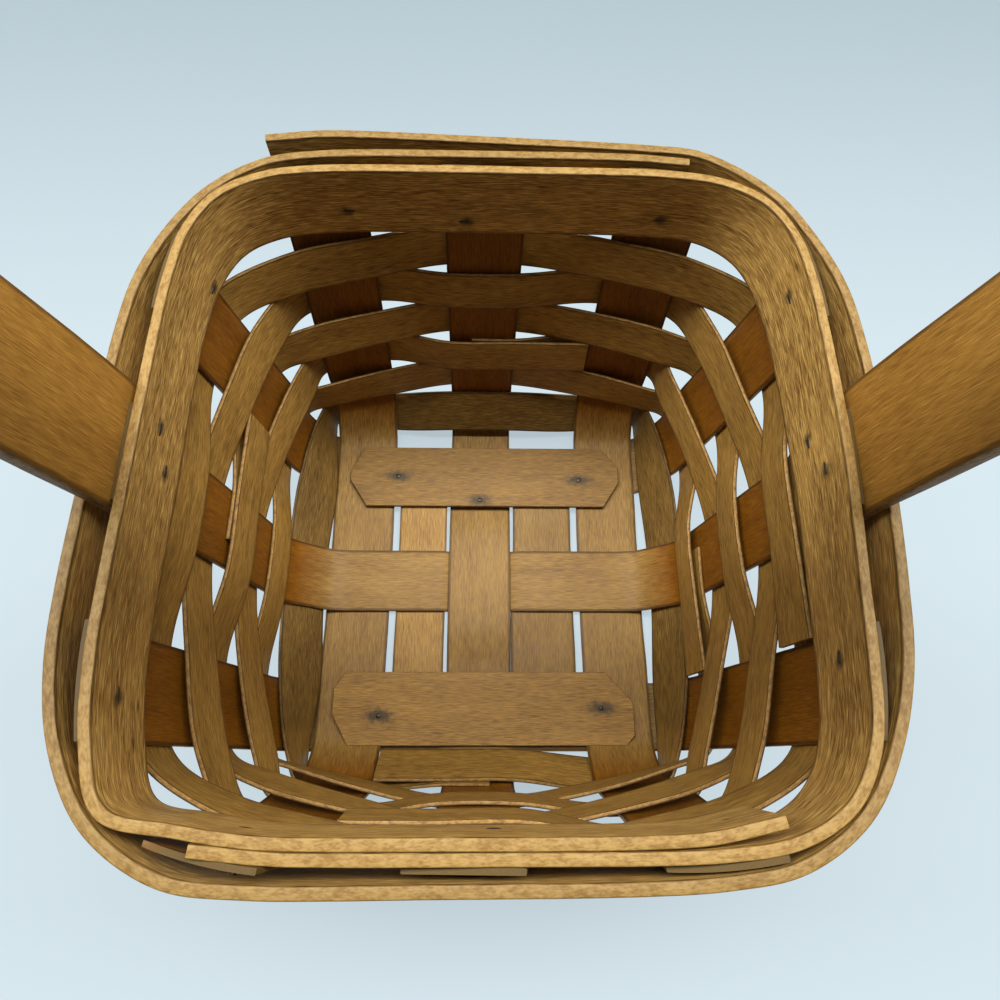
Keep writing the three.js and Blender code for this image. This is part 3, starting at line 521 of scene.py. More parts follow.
# A range says between which two values a mask rises.
FLECK_RANGE, LINE_RANGE, PORE_RANGE = (0.54, 0.68), (0.62, 0.76), (0.62, 0.75)
BESIDE_RANGE, EDGE_RANGE, BLOTCH_RANGE = (0.90, 0.95), (0.35, 0.75), (0.1, 0.9)
WALL_SHADE_RANGE, EDGE_SHADE_RANGE, TOP_SHADE_RANGE = (2.5 * MM, 13 * MM), (0.0, 0.35 * MM), (0.0, 2 * MM)
# A swing or a share says how much a pattern counts.
FIBRE_SWING, STREAK_SWING, CLOUD_SWING = 1.5, 0.45, 0.5
BLOTCH_SWING, SPECKLE_SWING, BLOTCH_LEVEL = 1.2, 1.0, 0.55
LINE_SHARE, PORE_SHARE, BESIDE_SHARE, TOP_SHADE_SHARE = 0.15, 0.15, 0.6, 0.9
PORE_DEPTH, FLECK_HEIGHT = 0.5, 0.4
LEAST_ROUGHNESS, FIBRE_ROUGHNESS = 0.40, 0.3
BESIDE_COLOUR, EDGE_SHADE_COLOUR, TOP_SHADE_COLOUR = (70, 44, 18), (34, 24, 12), (80, 64, 26)


def grain_group():
    tree = bpy.data.node_groups.new("wood_grain", "ShaderNodeTree")
    for name in ("Pale", "Deep", "Edge Pale", "Edge Deep", "Upper"):
        socket(tree, name, "Color")
    for name, default in (("Contrast", 1.0), ("Flecks", 0.5), ("End Height", 1.0), ("Edge Shade", 0.0)):
        socket(tree, name, "Float", default)
    for name, kind in (("Color", "Color"), ("Height", "Float"), ("Roughness", "Float")):
        socket(tree, name, kind, output=True)
    given = node(tree, "NodeGroupInput").outputs
    grain = node(tree, "ShaderNodeAttribute", attribute_name="grain").outputs["Vector"]
    edge, share, tone_and_painted_shade = (node(tree, "ShaderNodeAttribute", attribute_name=name).outputs["Fac"]
                        for name in ("edge", "share", "tone"))
    place = node(tree, "ShaderNodeTexCoord").outputs["Object"]
    height_up, through = (node(tree, "ShaderNodeSeparateXYZ", {0: at}).outputs["Z"] for at in (place, grain))

    def noise(length, width, detail):
        stretched = vector(tree, "MULTIPLY", grain, (1 / length, 1 / width, 1 / width))
        made = node(tree, "ShaderNodeTexNoise", {"Vector": stretched, "Scale": 1.0, "Detail": detail})
        return made.outputs[0]

    def swing(value, amount, onto):
        return calc(tree, "MULTIPLY_ADD", calc(tree, "SUBTRACT", value, 0.5), amount, onto)

    def times(a, b):
        return calc(tree, "MULTIPLY", a, b)

    fibre = noise(*FIBRE)
    fleck = ramp(tree, noise(*FLECK), *FLECK_RANGE)
    line = ramp(tree, noise(*DARK_LINE), *LINE_RANGE)
    pore = ramp(tree, noise(*PORE), *PORE_RANGE)
    tone = swing(noise(*STREAK), STREAK_SWING, swing(fibre, FIBRE_SWING, 0.0))
    tone = swing(noise(*CLOUD), CLOUD_SWING, tone)
    tone = calc(tree, "MULTIPLY_ADD", tone, given["Contrast"], 0.5)
    tone = calc(tree, "MINIMUM", calc(tree, "MAXIMUM", tone, 0.0), 1.0)
    face = mix(tree, tone, given["Deep"], given["Pale"])
    face = mix(tree, times(line, LINE_SHARE), face, given["Deep"], "MULTIPLY")
    face = mix(tree, times(pore, PORE_SHARE), face, given["Deep"], "MULTIPLY")
    face = mix(tree, times(fleck, given["Flecks"]), face, given["Pale"], "SCREEN")
    # Painted shade: off the base the face is tinted a deeper orange, like wood in shade lit by light bounced
    # off other wood.
    wall_shade = mix(tree, 1.0, face, given["Upper"], "MULTIPLY")
    face = mix(tree, ramp(tree, height_up, *WALL_SHADE_RANGE), face, wall_shade)
    beside = ramp(tree, calc(tree, "ABSOLUTE", share), *BESIDE_RANGE)
    face = mix(tree, times(beside, BESIDE_SHARE), face, linear(*BESIDE_COLOUR), "MULTIPLY")

    blotch = swing(noise(*BLOTCH), BLOTCH_SWING, swing(noise(*SPECKLE), SPECKLE_SWING, BLOTCH_LEVEL))
    sawn = mix(tree, ramp(tree, blotch, *BLOTCH_RANGE), given["Edge Deep"], given["Edge Pale"])
    # Painted shade on the outer half of each sawn edge, as strong as Edge Shade says.
    outer = times(ramp(tree, through, *EDGE_SHADE_RANGE), given["Edge Shade"])
    sawn = mix(tree, outer, sawn, linear(*EDGE_SHADE_COLOUR))
    colour = mix(tree, ramp(tree, edge, *EDGE_RANGE), face, sawn)
    # Painted shade: the tops of the uprights, in shadow between the bands, are darkened above a height.
    ends = ramp(tree, calc(tree, "SUBTRACT", height_up, given["End Height"]), *TOP_SHADE_RANGE)
    colour = mix(tree, times(ends, TOP_SHADE_SHARE), colour, linear(*TOP_SHADE_COLOUR))
    # The tone attribute scales the colour: the piece's own tone, plus painted shade where its path carries
    # it.
    colour = vector(tree, "SCALE", colour, calc(tree, "ADD", tone_and_painted_shade, 1.0))
    raised = calc(tree, "MULTIPLY_ADD", fleck, FLECK_HEIGHT, fibre)
    raised = calc(tree, "MULTIPLY_ADD", pore, -PORE_DEPTH, raised)
    rough = calc(tree, "MULTIPLY_ADD", fibre, FIBRE_ROUGHNESS, LEAST_ROUGHNESS)
    node(tree, "NodeGroupOutput", {"Color": colour, "Height": raised, "Roughness": rough})
    return tree


GRAIN = grain_group()
print("grain group of", len(GRAIN.nodes), "nodes")

# %% The iron stain group
STAIN_SCALE, STAIN_DETAIL, STAIN_RAGGED, STAIN_RANGE = 900.0, 2.0, 0.9, (0.15, 1.0)


def stain_group():
    """Dark near a centre, fading over a reach with a ragged outline."""
    tree = bpy.data.node_groups.new("iron_stain", "ShaderNodeTree")
    socket(tree, "Centre", "Vector")
    socket(tree, "Reach", "Vector", (1, 1, 1))
    socket(tree, "Mask", "Float", output=True)
    given = node(tree, "NodeGroupInput").outputs
    place = node(tree, "ShaderNodeTexCoord").outputs["Object"]
    away = vector(tree, "DIVIDE", vector(tree, "SUBTRACT", place, given["Centre"]), given["Reach"])
    far = node(tree, "ShaderNodeVectorMath", {0: away}, operation="LENGTH").outputs["Value"]
    noise = node(tree, "ShaderNodeTexNoise", {"Vector": place, "Scale": STAIN_SCALE, "Detail": STAIN_DETAIL})
    ragged = calc(tree, "SUBTRACT", noise.outputs[0], 0.5)
    far = calc(tree, "MULTIPLY_ADD", ragged, STAIN_RAGGED, far)
    mask = calc(tree, "SUBTRACT", 1.0, ramp(tree, far, *STAIN_RANGE))
    node(tree, "NodeGroupOutput", {"Mask": mask})
    return tree


STAIN = stain_group()
print("stain group of", len(STAIN.nodes), "nodes")

# %% Wood materials
STAIN_SHARE, STAIN_COLOUR = 0.85, (44, 43, 30)
BUMP_STRENGTH, BUMP_DISTANCE, WOOD_SPECULAR = 0.3, 0.1 * MM, 0.3
WHITE = (255, 255, 255)


def wood(name, pale, deep, edge_pale, edge_deep, contrast=1.0, flecks=0.4,
         wall_shade=WHITE, ends=1.0, edge_shade=0.0, stains=()):
    """A wood of four colours. The wall_shade colour tints what is off the base with painted shade, and
    painted shade darkens the wood above the height ends.
    """
    material = bpy.data.materials.new(name)
    material.use_nodes = True
    tree = material.node_tree
    shader = tree.nodes["Principled BSDF"]
    colours = {"Pale": pale, "Deep": deep, "Edge Pale": edge_pale, "Edge Deep": edge_deep, "Upper": wall_shade}
    values = {"Contrast": contrast, "Flecks": flecks, "End Height": ends, "Edge Shade": edge_shade}
    values.update((key, linear(*value)) for key, value in colours.items())
    grain = node(tree, "ShaderNodeGroup", values, node_tree=GRAIN)
    colour = grain.outputs["Color"]
    for centre, reach in stains:
        stain = node(tree, "ShaderNodeGroup", {"Centre": centre, "Reach": reach}, node_tree=STAIN)
        share = calc(tree, "MULTIPLY", stain.outputs["Mask"], STAIN_SHARE)
        colour = mix(tree, share, colour, linear(*STAIN_COLOUR))
    bump = {"Height": grain.outputs["Height"], "Strength": BUMP_STRENGTH, "Distance": BUMP_DISTANCE}
    raised = node(tree, "ShaderNodeBump", bump)
    tree.links.new(colour, shader.inputs["Base Color"])
    tree.links.new(grain.outputs["Roughness"], shader.inputs["Roughness"])
    tree.links.new(raised.outputs[0], shader.inputs["Normal"])
    shader.inputs["Specular IOR Level"].default_value = WOOD_SPECULAR
    return material


INNER_FACE = -(SPLINT_THICKNESS / 2 + SNUG + BAND_THICKNESS)
RIM_STAIN, BASE_STAIN = (2.2 * MM, 2.2 * MM, 2.2 * MM), (6.2 * MM, 3.0 * MM, 1.7 * MM)
# Painted shade darkens the uprights from this depth below their tops, where they lie in shadow between the
# bands.
TOP_SHADE_DEPTH = 3 * MM
rim_stains = [(wall_spot(nail.wall, nail.s, nail.z, INNER_FACE), RIM_STAIN) for nail in rim_nails]
base_stains = [(place, BASE_STAIN) for place in base_nails]
WEAVER_WOOD = wood("weaver_wood", (182, 142, 68), (84, 54, 17), (176, 138, 78), (116, 84, 42),
                   contrast=1.1, flecks=0.35, edge_shade=0.8)
# On the walls the uprights get painted shade, a deeper orange tint, and their tops get painted shade.
UPRIGHT_WOOD = wood("upright_wood", (160, 126, 63), (102, 70, 27), (144, 110, 58), (84, 55, 24),
                    contrast=1.2, flecks=0.2, wall_shade=(226, 186, 78), ends=UPRIGHT_TOP - TOP_SHADE_DEPTH)
BAND_WOOD = wood("band_wood", (208, 166, 90), (96, 63, 21), (158, 128, 72), (124, 91, 38),
                 contrast=1.3, flecks=0.7, stains=rim_stains)
CLEAT_WOOD = wood("cleat_wood", (164, 126, 60), (98, 67, 24), (126, 94, 50), (70, 45, 20),
                  contrast=1.2, flecks=0.2, stains=base_stains)
HANDLE_WOOD = wood("handle_wood", (180, 132, 56), (114, 74, 23), (150, 114, 60), (100, 68, 30),
                   contrast=0.9, flecks=0.2)
print("woods:", ", ".join(material.name for material in bpy.data.materials if "wood" in material.name))

# %% [markdown]
# ## Weavers
#
# Six splints go round the basket, one for each row, in front of one upright and behind the next. Rows
# alternate, and the top row runs inside the uprights that carry the handle. A weave could be drawn on a
# closed wall, but light falls through the real one's gaps, so each weaver is a strip of its own. It is held
# at both edges of every upright and bows freely between them. Inside the corner uprights it cuts the corner.
# Its ends overlap at the middle upright of one wall: it starts on the inside, with a short lead, and ends
# under itself. The first row carries painted shade except along the front, lies low and tucks in under
# the bends of the uprights.

# %% How a weaver is held
WEAVER_OUT = SPLINT_THICKNESS + SNUG
EDGE_ROOM = 0.3 * MM
GRIP = UPRIGHT_WIDTH / 2 + EDGE_ROOM
CORNER_GRIP = UPRIGHT_WIDTH / 2 + SPLINT_THICKNESS
OUTER_SLACK = 0.4 * MM
FAR_SLACK, NEAR_SLACK, FRONT_NEAR_SLACK = 0.6 * MM, 2.2 * MM, 2.4 * MM
FAR_LEAN, NEAR_LEAN = 0.4 * MM, 0.4 * MM
FAR_DIP, NEAR_DIP, DIP_STEP = 0.5 * MM, 1.6 * MM, 0.12 * MM
FIRST_ROW_END_TUCK, FIRST_ROW_LEFT_TUCK, FIRST_ROW_RIGHT_TUCK = 2.0 * MM, 3.4 * MM, 1.6 * MM
UNDER_FOOT, UNDER_TOP, UNDER_OUT = 2.4 * MM, 12.5 * MM, 1.8 * MM
UNDER_TUCK, LEFT_UNDER_TUCK, RIGHT_UNDER_TUCK = 1.4 * MM, 2.7 * MM, 0.8 * MM
RIGHT_TILT = 1.2 * MM
PASSES = [(wall, s, k - 1) for wall in WALLS for k, s in enumerate(wall.places)]


def first_row_tuck(wall, row):
    """How far the first row's lower edge tucks in over the base."""
    if row > 0:
        return 0.0
    return {LEFT: FIRST_ROW_LEFT_TUCK, RIGHT: FIRST_ROW_RIGHT_TUCK}.get(wall, FIRST_ROW_END_TUCK)


def weaver_station(wall, s, row, offset, slack=0.0, lean=0.0, tuck=0.0, dip=0.0, tilt=0.0):
    """One hold of a weaver. Lean and tuck move its lower edge in, tilt its upper edge, slack both."""
    foot = FIRST_ROW + row * ROW_PITCH - dip
    top = foot + WEAVER_HEIGHT
    low_edge = wall_spot(wall, s, foot, offset - (slack + lean) * rounding(foot) - tuck)
    return low_edge + wall_spot(wall, s, top, offset - slack * rounding(top) - tilt)


def under_bend(wall, s):
    """The first row outside an upright: its lower edge tucks in under the upright's bend."""
    tuck = LEFT_UNDER_TUCK if wall is LEFT else RIGHT_UNDER_TUCK if wall is RIGHT else UNDER_TUCK
    return wall_spot(wall, s, UNDER_FOOT, -tuck) + wall_spot(wall, s, UNDER_TOP, UNDER_OUT)


def pass_stations(wall, s, corner, row, outside, layer):
    """A weaver on both edges of one upright. Inside a corner upright it cuts the corner."""
    stations = []
    for end in (-1, 1):
        near = end == corner
        far = corner != 0 and not near
        at = s + end * (CORNER_GRIP if near else GRIP)
        dip = NEAR_DIP + DIP_STEP * row if near else far * FAR_DIP
        if outside:
            past = weaver_station(wall, at, row, WEAVER_OUT + OUTER_SLACK, dip=dip)
            stations.append(past if row or near else under_bend(wall, at))
            continue
        near_slack = FRONT_NEAR_SLACK if wall is FRONT else NEAR_SLACK
        slack = near_slack if near else far * FAR_SLACK
        lean = NEAR_LEAN if near else far * FAR_LEAN
        tuck = 0.0 if near else first_row_tuck(wall, row)
        tilt = RIGHT_TILT if wall is RIGHT and row else 0.0
        stations.append(weaver_station(wall, at, row, -WEAVER_OUT - layer, slack, lean, tuck, dip, tilt))
    return stations


print("a weaver passes", len(PASSES), "uprights")

# %% Six weavers
ROW_COUNT, UPRIGHTS_A_WALL = 6, 3
WEAVER_EASE = 6 * MM
LAP_LENGTH, TOP_LAP_LENGTH = 3 * MM, 9 * MM
# The first row gets painted shade: none along the front, full beyond a depth behind it.
FIRST_ROW_SHADE, SHADE_RISE_DEPTH = -0.5, 16 * MM
ROW_SEED = 0.83


def weaver_edges(row):
    """Both edges of a weaver, from its lead to its lap."""
    from_top = ROW_COUNT - 1 - row
    start = (WALLS.index(RIGHT) - from_top) % len(WALLS) * UPRIGHTS_A_WALL + 1
    wall, s, _ = PASSES[start]
    layer = SPLINT_THICKNESS + SNUG
    tuck = first_row_tuck(wall, row)
    lead = PASSES[start - 1][1] + GRIP
    stations = [weaver_station(wall, lead, row, -WEAVER_OUT - layer, tuck=tuck)]
    for i in range(len(PASSES)):
        index = (start + i) % len(PASSES)
        outside = (index + from_top) % 2 == 1
        stations += pass_stations(*PASSES[index], row, outside, layer if i == 0 else 0.0)
    lap = LAP_LENGTH if from_top else TOP_LAP_LENGTH
    for at in (s - GRIP, s + lap):
        stations.append(weaver_station(wall, at, row, -WEAVER_OUT, tuck=tuck))
    return even(bowed(stations), WEAVER_EASE)


def first_row_shade(lines):
    """Painted shade on the first row: none along the front, full beyond a depth behind it."""
    y = (lines[0][:, Y] + lines[1][:, Y]) / 2
    return FIRST_ROW_SHADE * np.clip((y + HALF_DEPTH) / SHADE_RISE_DEPTH, 0, 1)


weaver_section = section("weaver_section", WEAVER_HEIGHT, SPLINT_THICKNESS, SPLINT_EDGE, columns=6)
for row in range(ROW_COUNT):
    node_name = f"weaver_{row + 1}"
    lines = weaver_edges(row)
    splint("splint_" + node_name, "weaver_splint", lines, WEAVER_HEIGHT, weaver_section, WEAVER_WOOD,
           [node_name], row * ROW_SEED, shade=first_row_shade(lines) if row == 0 else 0.0)

# %% [markdown]
# ## Rim bands
#
# A thick band inside and one outside hold the tops of the uprights between them. Each goes round once and
# overlaps itself: the inner one along the front, the outer one along the back. On the side walls the outer
# band swings out to make room for the handle's legs. Two copies of one loop could not do this, so each band
# is a list of stretches, one for each wall. A stretch says how far the band stands off at its start, middle
# and end, how late it gets there, how far off the next corner is, how much its foot is raised, and how far
# the foot leans in at its end.

# %% Stretches of the bands
BAND_OUT = (SPLINT_THICKNESS + BAND_THICKNESS) / 2 + SNUG
BAND_LAYER = BAND_THICKNESS + SNUG
HANDLE_LEG = 2.2 * MM
LEG_ROOM = HANDLE_LEG + SNUG
SIDE_SLACK, FRONT_SLACK = 1.4 * MM, 1.7 * MM
FRONT_MIDDLE_SLACK, FRONT_RIGHT_SLACK = 1.0 * MM, 0.2 * MM
BACK_SLACK, BACK_CORNER_SLACK = 1.2 * MM, 0.6 * MM
RIGHT_FOOT_LEAN = 1.5 * MM
INNER_CORNER_SLACK = 1.4 * MM
SIDE_FOOT_RAISE, BACK_FOOT_RAISE = 0.5 * MM, 1.1 * MM
OUTER_LAP_LIFT, INNER_LAP_LIFT = 4.0 * MM, 1.5 * MM
LATE, MILD, EVEN = 4, 2, 1
OVER_LAP = BAND_LAYER + BACK_SLACK
Stretch = namedtuple("Stretch", "wall stands power corner foot lean", defaults=(0.0, 0.0))
TIGHT = (0, 0, 0)
OUTER_STRETCHES = [
    Stretch(BACK, (BACK_CORNER_SLACK, BACK_SLACK, BACK_CORNER_SLACK), LATE, 0),
    Stretch(LEFT, (0, LEG_ROOM + SIDE_SLACK, FRONT_SLACK), LATE, FRONT_SLACK),
    Stretch(FRONT, (FRONT_SLACK, FRONT_MIDDLE_SLACK, FRONT_RIGHT_SLACK), MILD, FRONT_RIGHT_SLACK),
    Stretch(RIGHT, (FRONT_RIGHT_SLACK, LEG_ROOM + SIDE_SLACK, 0), LATE, BACK_CORNER_SLACK),
    Stretch(BACK, (OVER_LAP, OVER_LAP + OUTER_LAP_LIFT / 2, OVER_LAP + OUTER_LAP_LIFT), EVEN, 0),
]
INNER_STRETCHES = [
    Stretch(FRONT, TIGHT, LATE, 0),
    Stretch(RIGHT, TIGHT, LATE, 0, SIDE_FOOT_RAISE, RIGHT_FOOT_LEAN),
    Stretch(BACK, TIGHT, LATE, 0, BACK_FOOT_RAISE),
    Stretch(LEFT, TIGHT, LATE, INNER_CORNER_SLACK, SIDE_FOOT_RAISE),
    Stretch(FRONT, (-BAND_LAYER, -BAND_LAYER, -BAND_LAYER - INNER_LAP_LIFT), LATE, 0),
]
print(len(OUTER_STRETCHES), "outer and", len(INNER_STRETCHES), "inner stretches")

# %% Two rim bands
BAND_EASE, BAND_HOLDS = 6 * MM, 8
BAND_EDGE, BAND_ROUGHNESS = 0.3 * MM, 0.14 * MM
CORNER_LEAN, LAP_LEAD = 0.7, 3 * MM
INNER_ENDS = (-44.6 * MM, 46.2 * MM)
OUTER_ENDS = (-42.4 * MM, 49.4 * MM)


def band_reach(wall):
    """Half the length of a stretch, to the far edge of a corner upright."""
    return wall.places[-1] + GRIP


def stand_off(part, s, reach):
    """How far the band stands off its wall at a distance along it."""
    start, centre, end = part.stands
    share = s / reach
    return centre + ((start if share < 0 else end) - centre) * abs(share) ** part.power


def foot_lean(part, s, reach):
    """How far the band's lower edge leans in, from none at the stretch's start."""
    return part.lean * (s + reach) / (2 * reach)


def band_edges(stretches, ends, offset, corner_offset):
    """A band goes once round and laps itself on its first wall."""
    stations = []
    last = len(stretches) - 1
    for i, part in enumerate(stretches):
        wall = part.wall
        reach = band_reach(wall)
        low, high = -reach, reach
        if i == 0:
            low = ends[0]
        if i == last:
            low, high = ends[0] - LAP_LEAD, ends[1]
        for s in np.linspace(low, high, BAND_HOLDS + 1):
            out = offset + stand_off(part, s, reach)
            low_edge = wall_spot(wall, s, BAND_FOOT + part.foot, out - foot_lean(part, s, reach))
            stations.append(low_edge + wall_spot(wall, s, RIM_TOP, out))
        if i < last:
            out = corner_offset + part.corner
            foot = BAND_FOOT + max(part.foot, stretches[i + 1].foot)
            low_edge = corner_spot(wall, foot, out - part.lean * CORNER_LEAN)
            stations.append(low_edge + corner_spot(wall, RIM_TOP, out))
    return even(bowed(stations), BAND_EASE)


band_height = RIM_TOP - BAND_FOOT
band_section = section("band_section", band_height, BAND_THICKNESS, BAND_EDGE, columns=10)
for name, stretches, ends, offset, corner_offset, seed, tone in (
    ("inner_band", INNER_STRETCHES, INNER_ENDS, -BAND_OUT, -BAND_OUT, 7.1, 0.0),
    ("outer_band", OUTER_STRETCHES, OUTER_ENDS, BAND_OUT, BAND_LAYER - BAND_OUT, 9.4, -0.2),
):
    edges = band_edges(stretches, ends, offset, corner_offset)
    splint("splint_" + name, "rim_band", edges, band_height, band_section, BAND_WOOD, [name], seed, tone,
           roughness=BAND_ROUGHNESS)

# %% [markdown]
# ## Uprights and fillers
#
# An upright goes down one wall, across the base and up the opposite wall. Three flat boards could stand for
# it, but a splint bends in one smooth curve, so it is one path too. On the base the uprights are woven over
# and under each other. Where the first weaver passes under an upright, the upright comes down to the base in
# a gentle bend. The back cross upright lies further forward on the base than on the walls, and the front tops
# of the lengthwise uprights lean to the left. Two fillers close the gaps beside the centre upright.

# %% Paths of the uprights
BASE_LEVEL = SPLINT_THICKNESS / 2
LEVEL_GAP = 0.3 * MM
LEVEL_STEP = SPLINT_THICKNESS + LEVEL_GAP
CROSSING_RAMP, LEAST_RAMP = 9 * MM, 0.8 * MM
UPRIGHT_EASE = 7 * MM
# Places on the bend at the foot: how far out from the wall's foot, and how high above the base.
BASE_RISE = [
    (1.5 * MM, 6.8 * MM), (-1.5 * MM, 3.6 * MM), (-3.5 * MM, 1.8 * MM), (-5.5 * MM, 0.6 * MM), (-9.5 * MM, 0),
]
RISE_TOP = 11.5 * MM
SHIFT_REACH, SHIFT_LIFT = 31 * MM, 0.1
LEAN_START = 60 * MM
RIM_STEPS, WALL_STEPS = 4, 12
rim_heights = np.linspace(UPRIGHT_TOP, BAND_FOOT, RIM_STEPS)
wall_heights = np.linspace(BAND_FOOT, FOOT_HEIGHT, WALL_STEPS)
UPRIGHT_HEIGHTS = [*rim_heights, *wall_heights[1:]]


def base_level(level):
    return BASE_LEVEL + level * LEVEL_STEP


def upright_edges(walls, edges, groups, levels, shift=0.0, lean=0.0):
    """Both edges of an upright and its cup: down one wall, over and under on the base, up the other."""
    first, last = walls
    far, near = edges if first is FRONT else edges[::-1]

    def on_wall(wall, z):
        sign = -1 if wall in (BACK, LEFT) else 1
        outs = [wall_out(wall, s, z) for s in (far, (far + near) / 2, near)]
        cup = outs[1] - (outs[0] + outs[2]) / 2
        lean_share = max((z - LEAN_START) / (RIM_TOP - LEAN_START), 0) ** 2
        aside = lean * lean_share if wall is FRONT else 0
        return wall_spot(wall, sign * far + aside, z, 0) + wall_spot(wall, sign * near + aside, z, 0) + [cup]

    def on_base(distance, z):
        if first is FRONT:
            return [far, distance, z, near, distance, z, 0]
        return [distance, far + shift, z, distance, near + shift, z, 0]

    def foot(wall, level):
        """From the wall to the base, in a gentle bend where the first row passes under it."""
        if level == 0:
            return [on_wall(wall, base_level(level) + abs(shift) * SHIFT_LIFT)]
        end = wall_out(wall, (far + near) / 2, base_level(level))
        side = -1 if wall is first else 1
        bend = [on_base(side * (end + out), base_level(level) + up) for out, up in BASE_RISE]
        return [on_wall(wall, RISE_TOP)] + bend

    down = [on_wall(first, z) for z in UPRIGHT_HEIGHTS]
    run = foot(first, levels[0]) + [on_base(-SHIFT_REACH, base_level(levels[0]))]
    for k in (0, 1):
        centre = (groups[k][1] + groups[k + 1][0]) / 2
        room = groups[k + 1][0] - groups[k][1] - 2 * SPLINT_THICKNESS
        slope = max(min(CROSSING_RAMP, room), LEAST_RAMP)
        run += [on_base(centre - slope / 2, base_level(levels[k]))]
        run += [on_base(centre + slope / 2, base_level(levels[k + 1]))]
    run += [on_base(SHIFT_REACH, base_level(levels[2]))] + foot(last, levels[2])[::-1]
    up = [on_wall(last, z) for z in UPRIGHT_HEIGHTS[::-1]]
    return even(down + run + up, UPRIGHT_EASE)


print(len(UPRIGHT_HEIGHTS), "heights on each wall")

# %% Six uprights
BACK_BASE_SHIFT = -5.3 * MM
LEFT_TOP_LEAN, CENTRE_TOP_LEAN, RIGHT_TOP_LEAN = -5.0 * MM, -2.7 * MM, -2.2 * MM
FILLER_GAP, FILLER_CENTRE_GAP = 2.1 * MM, 1.0 * MM


def span(centre):
    """The two edges of an upright."""
    return (centre - UPRIGHT_WIDTH / 2, centre + UPRIGHT_WIDTH / 2)


LEFT_SPAN, CENTRE_SPAN, RIGHT_SPAN = span(-UPRIGHT_PITCH), span(CENTRE_SHIFT), span(UPRIGHT_PITCH)
FRONT_SPAN, MIDDLE_SPAN, BACK_SPAN = span(-CROSS_PITCH), span(0), span(CROSS_PITCH)
LEFT_FILLER = (LEFT_SPAN[1] + FILLER_GAP, CENTRE_SPAN[0] - FILLER_CENTRE_GAP)
RIGHT_FILLER = (CENTRE_SPAN[1] + FILLER_CENTRE_GAP, RIGHT_SPAN[0] - FILLER_GAP)
LENGTHWISE = [FRONT_SPAN, MIDDLE_SPAN, BACK_SPAN]
CROSSWISE = [(LEFT_SPAN[0], LEFT_FILLER[1]), CENTRE_SPAN, (RIGHT_FILLER[0], RIGHT_SPAN[1])]
OVER, UNDER = (1, 0, 1), (0, 1, 0)
upright_section = section("upright_section", UPRIGHT_WIDTH, SPLINT_THICKNESS, SPLINT_EDGE, columns=8)


def upright(name, walls, edges, groups, levels, seed, **bend):
    lines = upright_edges(walls, edges, groups, levels, **bend)
    splint("splint_" + name, "upright_splint", lines, UPRIGHT_WIDTH, upright_section, UPRIGHT_WOOD, [name],
           seed, cup=lines[2][:, 0])


for name, edges, levels, lean, seed in (
    ("upright_left", LEFT_SPAN, OVER, LEFT_TOP_LEAN, 0.31),
    ("upright_centre", CENTRE_SPAN, UNDER, CENTRE_TOP_LEAN, 1.27),
    ("upright_right", RIGHT_SPAN, OVER, RIGHT_TOP_LEAN, 2.13),
):
    upright(name, (FRONT, BACK), edges, LENGTHWISE, levels, seed, lean=lean)
for name, edges, levels, shift, seed in (
    ("cross_upright_front", FRONT_SPAN, UNDER, 0.0, 3.37),
    ("cross_upright_middle", MIDDLE_SPAN, OVER, 0.0, 4.49),
    ("cross_upright_back", BACK_SPAN, UNDER, BACK_BASE_SHIFT, 5.51),
):
    upright(name, (LEFT, RIGHT), edges, CROSSWISE, levels, seed, shift=shift)

# %% Two fillers
FILLER_CLOSING = 0.95 * MM
for name, (low, high), closing, seed, tone in (
    ("filler_left", LEFT_FILLER, 0.0, 6.2, 0.3),
    ("filler_right", RIGHT_FILLER, FILLER_CLOSING, 6.9, -0.1),
):
    profile = section(name + "_section", high - low, SPLINT_THICKNESS, SPLINT_EDGE, columns=6)
    front, back = extent(name, Y)
    up, down = base_level(1), base_level(0)
    ramp_end = UPRIGHT_WIDTH / 2 + 2 * SPLINT_THICKNESS
    line = [(front, up), (-ramp_end - CROSSING_RAMP, up), (-ramp_end, down),
            (ramp_end, down), (ramp_end + CROSSING_RAMP, up), (back, up)]
    lines = even([(low - closing * (y < 0), y, z, high, y, z) for y, z in line], UPRIGHT_EASE)
    splint("splint_" + name, "upright_splint", lines, high - low, profile, UPRIGHT_WOOD, [name], seed, tone)
    bpy.data.objects.remove(profile)

# %% [markdown]
# ## Cleats
#
# Two thin boards with clipped corners are nailed across the base. A cleat is too stiff to bend, so there is
# no path to sweep. It is cut from its outline, and a small bevel breaks its edges. Every corner is clipped by
# hand and a little different, so each has its own two lengths.

# %% Two cleats
# Clips of each corner in millimetres, along and across: back left, back right, front right, front left.
CLEAT_CLIPS = {
    "cleat_back": ((3.9, 8.9), (5.2, 6.8), (5.3, 8.3), (5.7, 8.9)),
    "cleat_front": ((3.1, 4.8), (7.9, 8.5), (2.5, 2.7), (4.9, 8.6)),
}
CLEAT_EDGE = 0.25 * MM


